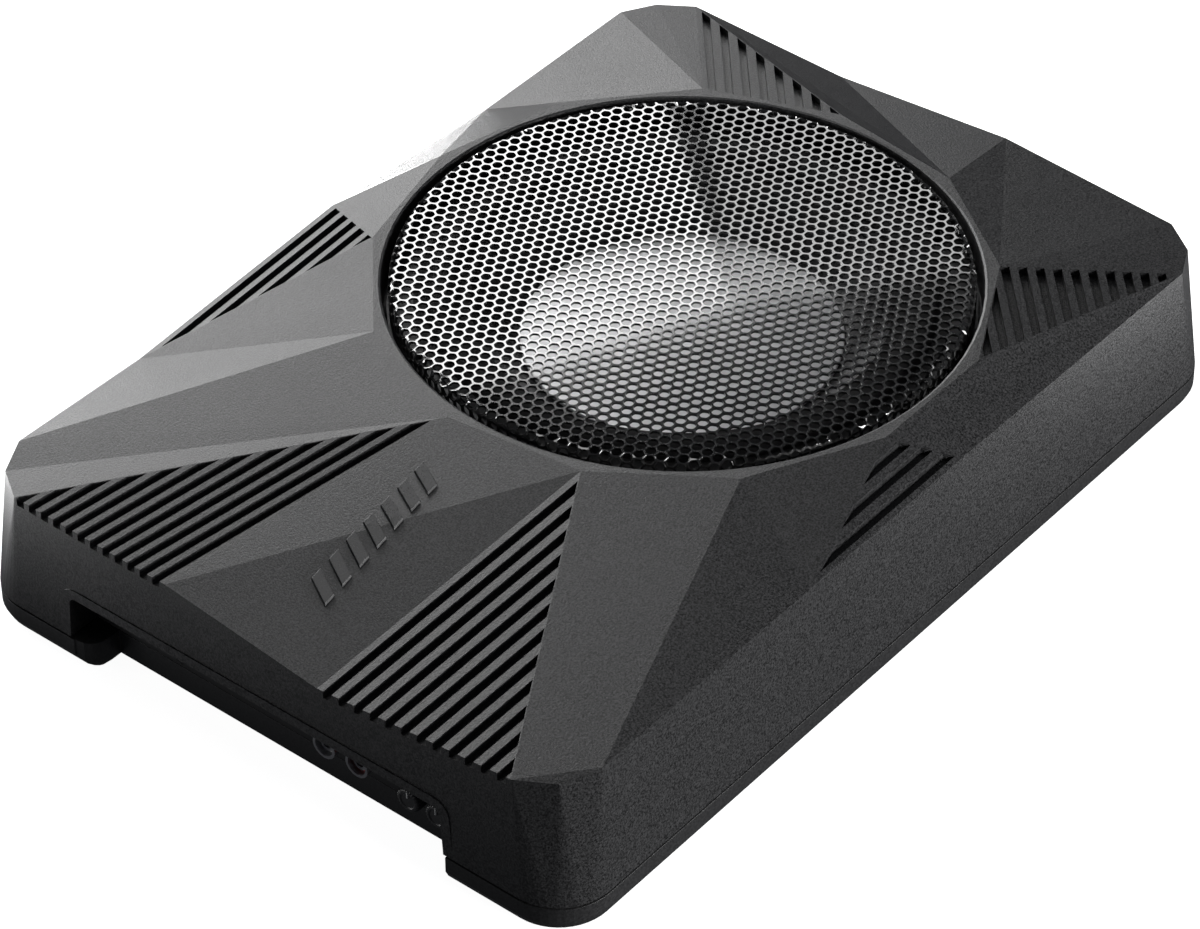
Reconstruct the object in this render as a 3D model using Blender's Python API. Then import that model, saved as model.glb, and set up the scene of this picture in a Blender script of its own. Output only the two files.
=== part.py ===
"""Powered car subwoofer: a flat faceted case that holds a shallow 8-inch driver and its own amplifier.

Metres, +Z up. The origin is at the centre of the footprint, on the surface that the feet stand on.
+X runs along the case from the connector bay to the driver, and -Y is the side with the longer
plain wall. Every separate physical piece is one object.
"""

import math

import bmesh
import bpy
from mathutils import Matrix, Vector

# ---- Driving dimensions -------------------------------------------------------------------------

GAP = 0.0003  # between pieces that touch in the real object

# Case, at the seam between cover and tray and at the top edge of its leaning sides
HALF_LENGTH = 0.1758
HALF_WIDTH = 0.1252
TOP_HALF_LENGTH = 0.1746
TOP_HALF_WIDTH = 0.1211
CORNER_RADIUS = 0.020
CORNER_STEPS = 12
SEAM_Z = 0.0122
EDGE_Z = 0.059
SIDE_WALL = 0.003
TOP_WALL = 0.0048

# Loudspeaker opening and the flat collar round it
DRIVER_X = 0.0368
COLLAR_Z = 0.0702
COLLAR_SIDES = 13
COLLAR_RADIUS = 0.1056
STEPS_PER_SIDE = 6
OPENING_RADIUS = 0.100
OPENING_EDGE = 0.001
TUBE_RADIUS = 0.1035
LEDGE_RADIUS = 0.0885
LEDGE_TOP_Z = 0.0562
LEDGE_BOTTOM_Z = 0.0532

# Styling grooves
GROOVE_DEPTH = 0.0028
GROOVE_MARGIN = 0.0003
LEAST_GROOVE_AREA = 1.5e-6

# Tray
TRAY_Z = 0.0015
TRAY_FLOOR_Z = 0.0045
TRAY_RIM_Z = 0.0113
TONGUE_TOP_Z = 0.016
TONGUE_INSET = 0.0044
TRAY_WALL = 0.0064
FOOT_RADIUS = 0.009
FOOT_TOP_Z = TRAY_Z - GAP

# Case screws, driven up through the tray into bosses of the cover
SCREW_X = (-0.128, 0.0, 0.128)
SCREW_Y = 0.1155
BOSS_RADIUS = 0.0055
BOSS_TOP_Z = 0.046
SCREW_HOLE_RADIUS = 0.0022
COUNTERBORE_RADIUS = 0.0045
COUNTERBORE_TOP_Z = 0.006
SCREW_TIP_Z = 0.032

# Connector bay in the short end at -X
BAY_BACK_X = -0.1632
BAY_INNER_X = -0.1573
BAY_HALF_WIDTH_TOP = 0.0777
BAY_HALF_WIDTH_FOOT = 0.0795
BAY_CENTRE_Y = 0.003
BAY_CEILING_LEFT_Z = 0.0296
BAY_CEILING_RIGHT_Z = 0.0306
BAY_CORNER_RADIUS = 0.003
LIP_WIDTH = 0.0038
LIP_FRONT_X = -0.17575
LINER_WALL = 0.003
TRAY_LEG_LEFT_Y = 0.0725
TRAY_LEG_RIGHT_Y = -0.0765
PANEL_THICKNESS = 0.002
PANEL_FACE_X = BAY_BACK_X
PANEL_AXIS_Z = 0.0215

# Driver: radii are from its own axis
EXCURSION = 0.005
FLANGE_RADIUS = 0.0987
FLANGE_BOTTOM_Z = 0.0574
FLANGE_TOP_Z = 0.0599
BASKET_FOOT = (0.0655, 0.0302)
BASKET_TOP = (0.0845, FLANGE_BOTTOM_Z)
TERMINAL_X = DRIVER_X - 0.0790
TERMINAL_Z = 0.0345
DRIVER_SCREW_CIRCLE = 0.0927
DRIVER_SCREW_COUNT = 6
CONE_EDGE_RADIUS = 0.075
CONE_LIP_RADIUS = 0.0705
CAP_RADIUS = 0.0545
CAP_RIM_Z = 0.0449
CAP_CROWN = 0.0028
FORMER_RADIUS = 0.026
FORMER_WALL = 0.0005
YOKE_TOP_Z = 0.0105  # of its plate, under the magnet
ROLL_CENTRE_RADIUS = 0.080
ROLL_RADIUS = 0.0054
SURROUND_Z = FLANGE_TOP_Z + GAP
SURROUND_WALL = 0.0007

# Grille
GRILLE_RADIUS = 0.0976
GRILLE_BEND = 0.0018
GRILLE_SHEET = 0.0012
GRILLE_TOP_Z = 0.0712

# Amplifier board
BOARD_Z = 0.0085
BOARD_THICKNESS = 0.0016
BOARD_TOP_Z = BOARD_Z + BOARD_THICKNESS
BOARD_MIN = (-0.1565, -0.072)
BOARD_MAX = (-0.078, 0.070)
POST_PLACES = ((-0.151, -0.066), (-0.151, 0.0625), (-0.084, -0.066), (-0.084, 0.064))
POST_RADIUS = 0.0032
PIN_RADIUS = 0.0012
PIN_TOP_Z = 0.0114


# ---- Materials ----------------------------------------------------------------------------------

def material(name, colour, roughness, metallic=0.0):
    """A plain Principled material, made once for each name."""
    found = bpy.data.materials.get(name)
    if found:
        return found
    made = bpy.data.materials.new(name)
    made.use_nodes = True
    shader = made.node_tree.nodes["Principled BSDF"]
    shader.inputs["Base Color"].default_value = (*colour, 1.0)
    shader.inputs["Roughness"].default_value = roughness
    shader.inputs["Metallic"].default_value = metallic
    made.diffuse_color = (*colour, 1.0)
    return made


MATERIALS = {
    "powder_coat": ((0.045, 0.045, 0.047), 0.55, 0.0),
    "tray_plastic": ((0.035, 0.035, 0.037), 0.5, 0.0),
    "black_rubber": ((0.015, 0.015, 0.015), 0.85, 0.0),
    "grille_steel": ((0.02, 0.02, 0.021), 0.35, 0.6),
    "zinc_steel": ((0.55, 0.55, 0.57), 0.3, 1.0),
    "black_screw": ((0.03, 0.03, 0.03), 0.35, 0.8),
    "basket_steel": ((0.06, 0.06, 0.063), 0.45, 0.5),
    "cone_paper": ((0.03, 0.03, 0.032), 0.6, 0.0),
    "cap_aluminium": ((0.8, 0.8, 0.82), 0.28, 1.0),
    "former_foil": ((0.6, 0.5, 0.3), 0.4, 0.3),
    "copper": ((0.72, 0.35, 0.18), 0.3, 1.0),
    "spider_cloth": ((0.62, 0.45, 0.2), 0.9, 0.0),
    "plated_steel": ((0.4, 0.4, 0.42), 0.35, 1.0),
    "ferrite": ((0.06, 0.06, 0.065), 0.7, 0.0),
    "board_laminate": ((0.02, 0.12, 0.05), 0.45, 0.0),
    "panel_black": ((0.02, 0.02, 0.021), 0.5, 0.0),
    "socket_plastic": ((0.025, 0.025, 0.027), 0.45, 0.0),
    "knob_plastic": ((0.04, 0.04, 0.042), 0.4, 0.0),
    "heat_sink": ((0.6, 0.6, 0.62), 0.4, 1.0),
    "sleeve_black": ((0.02, 0.02, 0.03), 0.4, 0.0),
    "wire_red": ((0.5, 0.02, 0.02), 0.5, 0.0),
    "wire_black": ((0.02, 0.02, 0.02), 0.5, 0.0),
    "rca_red": ((0.6, 0.03, 0.03), 0.4, 0.0),
    "rca_white": ((0.8, 0.8, 0.78), 0.4, 0.0),
    "fuse_amber": ((0.75, 0.35, 0.05), 0.3, 0.0),
    "led_blue": ((0.1, 0.25, 0.8), 0.2, 0.0),
    "slider_grey": ((0.5, 0.5, 0.5), 0.5, 0.0),
    "core_yellow": ((0.6, 0.55, 0.1), 0.5, 0.0),
}


def look(name):
    colour, roughness, metallic = MATERIALS[name]
    return material(name, colour, roughness, metallic)


# ---- Mesh helpers -------------------------------------------------------------------------------

def clear_scene():
    for item in list(bpy.data.objects):
        bpy.data.objects.remove(item, do_unlink=True)


def finish_object(name, bm, finish, location=(0, 0, 0), smooth_angle=None):
    """Closes a bmesh into a named object with one material; a smooth angle is in degrees."""
    bmesh.ops.recalc_face_normals(bm, faces=bm.faces)
    mesh = bpy.data.meshes.new(name)
    bm.to_mesh(mesh)
    bm.free()
    item = bpy.data.objects.new(name, mesh)
    item.location = location
    bpy.context.collection.objects.link(item)
    if finish:
        mesh.materials.append(look(finish))
    if smooth_angle is not None:
        mesh.shade_smooth()
        mesh.set_sharp_from_angle(angle=math.radians(smooth_angle))
    return item


def circle_points(radius, count, z=0.0, start=0.0):
    """Points anticlockwise round the Z axis."""
    turn = 2 * math.pi / count
    return [
        (radius * math.cos(start + k * turn), radius * math.sin(start + k * turn), z)
        for k in range(count)
    ]


def add_ring(bm, points):
    return [bm.verts.new(point) for point in points]


def bridge(bm, lower, upper):
    """Quads between two closed rings with the same number of points."""
    count = len(lower)
    for k in range(count):
        after = (k + 1) % count
        bm.faces.new((lower[k], lower[after], upper[after], upper[k]))


def turned(name, profile, finish, steps=40, location=(0, 0, 0), smooth_angle=40, axis="Z"):
    """A solid turned about its axis from a closed (radius, height) profile.

    A profile that starts and ends on the axis makes a solid with no bore.
    """
    bm = bmesh.new()
    on_axis = profile[0][0] == 0 and profile[-1][0] == 0
    rings = []
    for radius, height in profile:
        if radius == 0:
            rings.append([bm.verts.new((0, 0, height))])
        else:
            rings.append(add_ring(bm, circle_points(radius, steps, height)))
    pairs = list(zip(rings, rings[1:]))
    if not on_axis:
        pairs.append((rings[-1], rings[0]))
    for first, second in pairs:
        if len(first) == 1 or len(second) == 1:
            tip, ring = (first, second) if len(first) == 1 else (second, first)
            for k in range(steps):
                bm.faces.new((tip[0], ring[k], ring[(k + 1) % steps]))
        else:
            bridge(bm, first, second)
    if axis == "X":
        bmesh.ops.rotate(bm, verts=bm.verts, matrix=Matrix.Rotation(-math.pi / 2, 3, "Y"))
    return finish_object(name, bm, finish, location, smooth_angle)


def prism(bm, outline, low, high):
    """An upright prism on an outline of (x, y) points; low and high are heights or functions."""
    def at(level, point):
        return level(*point) if callable(level) else level

    bottom = [bm.verts.new((x, y, at(low, (x, y)))) for x, y in outline]
    top = [bm.verts.new((x, y, at(high, (x, y)))) for x, y in outline]
    bm.faces.new(bottom[::-1])
    bm.faces.new(top)
    bridge(bm, bottom, top)


def end_prism(bm, outline, near_x, far_x):
    """A prism along X on an outline of (y, z) points."""
    near = [bm.verts.new((near_x, y, z)) for y, z in outline]
    far = [bm.verts.new((far_x, y, z)) for y, z in outline]
    bm.faces.new(near)
    bm.faces.new(far[::-1])
    bridge(bm, near, far)


def box_outline(x0, x1, y0, y1):
    return [(x0, y0), (x1, y0), (x1, y1), (x0, y1)]


def block(name, low, high, finish, bevel=0.0):
    """A box between two corners, with its edges broken where a bevel is given."""
    bm = bmesh.new()
    prism(bm, box_outline(low[0], high[0], low[1], high[1]), low[2], high[2])
    if bevel:
        bmesh.ops.bevel(bm, geom=bm.edges, offset=bevel, segments=1, affect="EDGES")
    return finish_object(name, bm, finish)


def cutter_from(name, bm):
    """A hidden helper for a Boolean."""
    item = finish_object(name, bm, None)
    item.hide_render = True
    item.display_type = "WIRE"
    return item


def combine(target, cutter, operation):
    modifier = target.modifiers.new(cutter.name, "BOOLEAN")
    modifier.object = cutter
    modifier.operation = operation


def add_cylinder(bm, radius, low, high, x, y, steps=12):
    prism(bm, [(x + px, y + py) for px, py, _ in circle_points(radius, steps)], low, high)


def add_x_cylinder(bm, radius, x0, x1, y, z, steps=20):
    end_prism(bm, [(y + a, z + b) for a, b, _ in circle_points(radius, steps)], x0, x1)


# ---- Case outline -------------------------------------------------------------------------------

def side_y(z):
    """Distance of a long wall from the middle plane at a height: the walls lean in."""
    lean = (HALF_WIDTH - TOP_HALF_WIDTH) / (EDGE_Z - SEAM_Z)
    return HALF_WIDTH - lean * (z - SEAM_Z)


def end_x(z):
    """Distance of a short wall from the middle at a height."""
    lean = (HALF_LENGTH - TOP_HALF_LENGTH) / (EDGE_Z - SEAM_Z)
    return HALF_LENGTH - lean * (z - SEAM_Z)


def edge_points():
    """Corners of the faceted top edge, anticlockwise from above.

    Each name starts with the wall it lies on: near (-X), right (-Y), far (+X) or left (+Y).
    A plain point on a wall is given by its place along the wall and its height. Each of the four
    corners is cut twice, so it has three points.
    """
    long_cut, short_cut = 0.0207, 0.0182
    mid_x, mid_y = 0.008, 0.0062

    def end(sign, y, z):
        return (sign * end_x(z), y, z)

    def side(sign, x, z):
        return (x, sign * side_y(z), z)

    def cut(sign_x, sign_y, heights):
        on_end, middle, on_side = heights
        return (
            end(sign_x, sign_y * (side_y(EDGE_Z) - short_cut), on_end),
            (sign_x * (end_x(EDGE_Z) - mid_x), sign_y * (side_y(EDGE_Z) - mid_y), middle),
            side(sign_y, sign_x * (end_x(EDGE_Z) - long_cut), on_side),
        )

    near_right = cut(-1, -1, (0.0595, 0.0588, 0.0600))
    far_right = cut(1, -1, (0.0586, 0.0582, 0.0588))
    far_left = cut(1, 1, (0.0586, 0.0586, 0.0595))
    near_left = cut(-1, 1, (0.0590, 0.0582, 0.0592))
    return {
        "near_right_a": near_right[0],
        "near_right_b": near_right[1],
        "near_right_c": near_right[2],
        "right_1": side(-1, -0.0518, 0.0603),
        "right_2": side(-1, 0.0284, 0.0606),
        "far_right_a": far_right[2],
        "far_right_b": far_right[1],
        "far_right_c": far_right[0],
        "far_1": end(1, -0.0337, 0.0629),
        "far_2": end(1, 0.0375, 0.0570),
        "far_left_a": far_left[0],
        "far_left_b": far_left[1],
        "far_left_c": far_left[2],
        "left_1": side(1, 0.0787, 0.0589),
        "left_2": side(1, 0.0085, 0.0633),
        "left_3": side(1, -0.0021, 0.0649),
        "left_4": side(1, -0.0976, 0.0576),
        "near_left_a": near_left[2],
        "near_left_b": near_left[1],
        "near_left_c": near_left[0],
        "near_1": end(-1, 0.0376, 0.0584),
        "near_2": end(-1, -0.0255, 0.0513),
    }


def collar_points(radius, z):
    """The collar's regular outline; c10 points straight at the left wall."""
    points = {}
    for k in range(1, COLLAR_SIDES + 1):
        angle = math.radians(90) + (k - 10) * 2 * math.pi / COLLAR_SIDES
        points[f"c{k}"] = (
            DRIVER_X + radius * math.cos(angle),
            radius * math.sin(angle),
            z,
        )
    return points


FACETS = (
    ("near_right_a", "near_right_b", "near_right_c"),
    ("near_right_a", "near_right_c", "c2"),
    ("near_right_a", "c2", "c1"),
    ("near_right_c", "right_1", "c2"),
    ("right_1", "c3", "c2"),
    ("right_1", "right_2", "c3"),
    ("right_2", "far_right_a", "c3"),
    ("far_right_a", "c4", "c3"),
    ("far_right_a", "c5", "c4"),
    ("far_right_a", "far_right_b", "c5"),
    ("far_right_b", "far_right_c", "c5"),
    ("far_right_c", "far_1", "c5"),
    ("far_1", "c6", "c5"),
    ("far_1", "far_2", "c6"),
    ("far_2", "far_left_a", "c6"),
    ("far_left_a", "c7", "c6"),
    ("far_left_a", "c8", "c7"),
    ("far_left_a", "far_left_b", "c8"),
    ("far_left_b", "far_left_c", "c8"),
    ("far_left_c", "left_1", "c8"),
    ("left_1", "c9", "c8"),
    ("left_1", "c10", "c9"),
    ("left_1", "left_2", "c10"),
    ("left_2", "left_3", "c10"),
    ("left_3", "c11", "c10"),
    ("left_3", "left_4", "c11"),
    ("left_4", "c12", "c11"),
    ("left_4", "near_left_a", "c12"),
    ("near_left_a", "c13", "c12"),
    ("near_left_a", "near_left_b", "c13"),
    ("near_left_b", "near_left_c", "c13"),
    ("near_left_c", "near_1", "c13"),
    ("near_1", "c1", "c13"),
    ("near_1", "near_2", "c1"),
    ("near_2", "near_right_a", "c1"),
)

# Each corner of the seam outline: the three top points above it and the angle where its arc starts
CORNERS = (
    (("near_right_a", "near_right_b", "near_right_c"), 180),
    (("far_right_a", "far_right_b", "far_right_c"), 270),
    (("far_left_a", "far_left_b", "far_left_c"), 0),
    (("near_left_a", "near_left_b", "near_left_c"), 90),
)

# Top points along each wall, from the corner before it to the corner after it
WALLS = (
    ("near_right_c", "right_1", "right_2", "far_right_a"),
    ("far_right_c", "far_1", "far_2", "far_left_a"),
    ("far_left_c", "left_1", "left_2", "left_3", "left_4", "near_left_a"),
    ("near_left_c", "near_1", "near_2", "near_right_a"),
)


def rounded_outline(half_length, half_width, radius, steps=CORNER_STEPS):
    """A rounded rectangle, anticlockwise, one arc after another from the near right corner."""
    points = []
    for _, start in CORNERS:
        middle = math.radians(start + 45)
        centre_x = math.copysign(half_length - radius, math.cos(middle))
        centre_y = math.copysign(half_width - radius, math.sin(middle))
        for k in range(steps + 1):
            angle = math.radians(start + 90 * k / steps)
            points.append((centre_x + radius * math.cos(angle), centre_y + radius * math.sin(angle)))
    return points


# ---- Cover --------------------------------------------------------------------------------------

def add_skin(bm, top, seam):
    """Facets and leaning walls of one skin of the cover, from its top points to its seam ring."""
    for facet in FACETS:
        bm.faces.new([top[name] for name in facet])
    arc = CORNER_STEPS + 1
    third = CORNER_STEPS // 3
    for index, (names, _) in enumerate(CORNERS):
        ring = seam[index * arc : (index + 1) * arc]
        for part, name in enumerate(names):
            for k in range(part * third, (part + 1) * third):
                bm.faces.new((ring[k], ring[k + 1], top[name]))
        bm.faces.new((ring[third], top[names[1]], top[names[0]]))
        bm.faces.new((ring[2 * third], top[names[2]], top[names[1]]))
        after = seam[((index + 1) % 4) * arc]
        chain = [top[name] for name in WALLS[index]]
        bm.faces.new([ring[-1], after] + chain[::-1])


def add_collar(bm, gon, ring):
    """The flat band between a collar outline and the round opening inside it."""
    sides = len(gon)
    for k in range(sides):
        arc = [ring[(k * STEPS_PER_SIDE + j) % len(ring)] for j in range(STEPS_PER_SIDE + 1)]
        bm.faces.new([gon[k], gon[(k + 1) % sides]] + arc[::-1])


def cover_shell():
    """The cover's outer and inner skins, its collar and the tube that the driver hangs in."""
    bm = bmesh.new()
    outer_top = {**edge_points(), **collar_points(COLLAR_RADIUS, COLLAR_Z)}
    scale_x = (TOP_HALF_LENGTH - SIDE_WALL) / TOP_HALF_LENGTH
    scale_y = (TOP_HALF_WIDTH - SIDE_WALL) / TOP_HALF_WIDTH
    inner_top = {
        name: (x * scale_x, y * scale_y, z - TOP_WALL) for name, (x, y, z) in edge_points().items()
    }
    inner_top.update(collar_points(COLLAR_RADIUS + 0.002, COLLAR_Z - TOP_WALL))
    inner_length = scale_x * end_x(SEAM_Z + TOP_WALL)
    inner_width = scale_y * side_y(SEAM_Z + TOP_WALL)

    skins = []
    for top, length, width, radius in (
        (outer_top, HALF_LENGTH, HALF_WIDTH, CORNER_RADIUS),
        (inner_top, inner_length, inner_width, CORNER_RADIUS - SIDE_WALL),
    ):
        verts = {name: bm.verts.new(point) for name, point in top.items()}
        outline = rounded_outline(length, width, radius)
        seam = add_ring(bm, [(x, y, SEAM_Z) for x, y in outline])
        add_skin(bm, verts, seam)
        skins.append((verts, seam))
    bridge(bm, skins[0][1], skins[1][1])

    start = math.radians(90) - 9 * 2 * math.pi / COLLAR_SIDES
    levels = (
        (OPENING_RADIUS + OPENING_EDGE, COLLAR_Z),
        (OPENING_RADIUS + 0.3 * OPENING_EDGE, COLLAR_Z - 0.3 * OPENING_EDGE),
        (OPENING_RADIUS, COLLAR_Z - OPENING_EDGE),
        (OPENING_RADIUS, LEDGE_TOP_Z),
        (LEDGE_RADIUS, LEDGE_TOP_Z),
        (LEDGE_RADIUS, LEDGE_BOTTOM_Z),
        (TUBE_RADIUS, LEDGE_BOTTOM_Z),
        (TUBE_RADIUS, COLLAR_Z - TOP_WALL),
    )
    rings = []
    for radius, z in levels:
        points = circle_points(radius, COLLAR_SIDES * STEPS_PER_SIDE, z, start)
        rings.append(add_ring(bm, [(DRIVER_X + x, y, z) for x, y, z in points]))
    for first, second in zip(rings, rings[1:]):
        bridge(bm, first, second)
    for (verts, _), ring in zip(skins, (rings[0], rings[-1])):
        add_collar(bm, [verts[f"c{k}"] for k in range(1, COLLAR_SIDES + 1)], ring)
    return bm


def clip(outline, point, inward):
    """Keeps the part of an outline on the inward side of the line through a point."""
    kept = []
    for (ax, ay), (bx, by) in zip(outline, outline[1:] + outline[:1]):
        a = (ax - point[0]) * inward[0] + (ay - point[1]) * inward[1]
        b = (bx - point[0]) * inward[0] + (by - point[1]) * inward[1]
        if a >= 0:
            kept.append((ax, ay))
        if a * b < 0:
            share = a / (a - b)
            kept.append((ax + share * (bx - ax), ay + share * (by - ay)))
    return kept


# Groove groups: the facet, the edge that the grooves follow (or their heading in degrees and the
# corner that they are counted from), the first groove's distance, the pitch, the width and how
# many. Distances lie in the facet's own plane.
GROOVES = (
    (("near_left_c", "near_1", "c13"), ("near_1", "c13"), 0.0022, 0.00522, 0.0031, 12),
    (("near_2", "near_right_a", "c1"), ("near_2", "c1"), 0.0025, 0.00630, 0.0034, 12),
    (("right_1", "right_2", "c3"), ("right_1", "right_2"), 0.0019, 0.00596, 0.0033, 3),
    (("far_right_a", "c5", "c4"), (43.8, "c4"), 0.0020, 0.00610, 0.0033, 12),
    (("far_left_a", "c8", "c7"), ("far_left_a", "c8"), 0.0019, 0.00600, 0.0029, 8),
    (("left_3", "left_4", "c11"), ("left_4", "left_3"), 0.0023, 0.00570, 0.0033, 5),
)


def area_of(outline):
    following = outline[1:] + outline[:1]
    return abs(sum(ax * by - bx * ay for (ax, ay), (bx, by) in zip(outline, following))) / 2


def facet_height(points, facet, drop=0.0):
    """The height of a facet's plane, as a function of x and y."""
    a, b, c = (Vector(points[name]) for name in facet)
    normal = (b - a).cross(c - a)

    def height(x, y):
        return a.z - (normal.x * (x - a.x) + normal.y * (y - a.y)) / normal.z - drop

    return height


def plan_scale(points, facet, along):
    """How much shorter a distance across a line in a sloping facet looks from straight above."""
    a, b, c = (Vector(points[name]) for name in facet)
    normal = (b - a).cross(c - a).normalized()
    rise = -(normal.x * along.x + normal.y * along.y) / normal.z
    return abs(normal.z) * math.sqrt(1 + rise * rise)


def groove_cutters():
    """One prism for each groove, clipped to its facet and parallel to it in depth.

    The edge along the short end wall doesn't stop them: they run out through it.
    """
    points = {**edge_points(), **collar_points(COLLAR_RADIUS, COLLAR_Z)}
    bm = bmesh.new()
    reach = 0.4
    for facet, line, first, pitch, width, count in GROOVES:
        corners = [Vector(points[name]).to_2d() for name in facet]
        middle = sum(corners, Vector((0, 0))) / 3
        if isinstance(line[0], str):
            origin = Vector(points[line[0]]).to_2d()
            along = (Vector(points[line[1]]).to_2d() - origin).normalized()
        else:
            origin = Vector(points[line[1]]).to_2d()
            heading = math.radians(line[0])
            along = Vector((math.cos(heading), math.sin(heading)))
        across = Vector((-along.y, along.x))
        if across.dot(middle - origin) < 0:
            across.negate()
        across *= plan_scale(points, facet, along)
        top = facet_height(points, facet, -0.002)
        floor = facet_height(points, facet, GROOVE_DEPTH)
        for k in range(count):
            low, high = first + k * pitch, first + k * pitch + width
            outline = [
                tuple(origin + along * s + across * t)
                for s, t in ((-reach, low), (reach, low), (reach, high), (-reach, high))
            ]
            for index in range(3):
                a, b = corners[index], corners[(index + 1) % 3]
                names = (facet[index], facet[(index + 1) % 3])
                if all(name.startswith("near") for name in names):
                    continue
                inward = Vector((-(b - a).y, (b - a).x))
                if inward.dot(middle - a) < 0:
                    inward.negate()
                outline = clip(outline, a + inward.normalized() * GROOVE_MARGIN, inward)
            if area_of(outline) > LEAST_GROOVE_AREA:
                prism(bm, outline, floor, top)
    return cutter_from("groove_cutters", bm)


def bay_section(grow=0.0, foot_z=-0.002):
    """The bay's opening seen from -X, as (y, z) points: wider at the foot, round at the top."""
    def half_width(z):
        slope = (BAY_HALF_WIDTH_FOOT - BAY_HALF_WIDTH_TOP) / BAY_CEILING_LEFT_Z
        return BAY_HALF_WIDTH_FOOT - slope * z + grow

    left_z, right_z = BAY_CEILING_LEFT_Z + grow, BAY_CEILING_RIGHT_Z + grow
    left_top = (BAY_CENTRE_Y + half_width(left_z), left_z)
    right_top = (BAY_CENTRE_Y - half_width(right_z), right_z)
    left_foot = (BAY_CENTRE_Y + half_width(foot_z), foot_z)
    right_foot = (BAY_CENTRE_Y - half_width(foot_z), foot_z)
    radius = BAY_CORNER_RADIUS + grow
    outline = [left_foot]
    for corner, before, after in ((left_top, left_foot, right_top), (right_top, left_top, right_foot)):
        outline += fillet(Vector(corner), Vector(before), Vector(after), radius)
    outline.append(right_foot)
    return outline


def fillet(corner, before, after, radius, steps=4):
    """A rounded corner as a quadratic curve between its two tangent points."""
    start = corner + (before - corner).normalized() * radius
    end = corner + (after - corner).normalized() * radius
    points = []
    for k in range(steps + 1):
        t = k / steps
        points.append(tuple(start * (1 - t) ** 2 + corner * 2 * t * (1 - t) + end * t ** 2))
    return points


def make_top_shell():
    shell = finish_object("top_shell", cover_shell(), "powder_coat", smooth_angle=12)

    liner = bmesh.new()
    end_prism(liner, bay_section(LINER_WALL, SEAM_Z), -0.1735, BAY_INNER_X)
    combine(shell, cutter_from("bay_liner", liner), "UNION")

    lip = bmesh.new()
    end_prism(lip, bay_section(LIP_WIDTH, SEAM_Z), LIP_FRONT_X, -0.1722)
    combine(shell, cutter_from("bay_lip", lip), "UNION")

    bosses = bmesh.new()
    for x in SCREW_X:
        for side in (-1, 1):
            add_cylinder(bosses, BOSS_RADIUS, TONGUE_TOP_Z + 0.0008, BOSS_TOP_Z, x, side * SCREW_Y)
    combine(shell, cutter_from("cover_bosses", bosses), "UNION")

    bay = bmesh.new()
    end_prism(bay, bay_section(), -0.19, BAY_INNER_X + 0.005)
    combine(shell, cutter_from("bay_void", bay), "DIFFERENCE")

    holes = bmesh.new()
    for x in SCREW_X:
        for side in (-1, 1):
            add_cylinder(holes, SCREW_HOLE_RADIUS, 0.01, SCREW_TIP_Z + 0.002, x, side * SCREW_Y, 8)
    for x, y in driver_screw_places():
        add_cylinder(holes, 0.0019, LEDGE_BOTTOM_Z - 0.001, LEDGE_TOP_Z + 0.001, x, y, 8)
    combine(shell, cutter_from("cover_holes", holes), "DIFFERENCE")

    combine(shell, groove_cutters(), "DIFFERENCE")


# ---- Tray, gasket, feet and case screws ---------------------------------------------------------

def inset_ring(bm, inset, z):
    outline = rounded_outline(HALF_LENGTH - inset, HALF_WIDTH - inset, CORNER_RADIUS - inset)
    return add_ring(bm, [(x, y, z) for x, y in outline])


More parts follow.
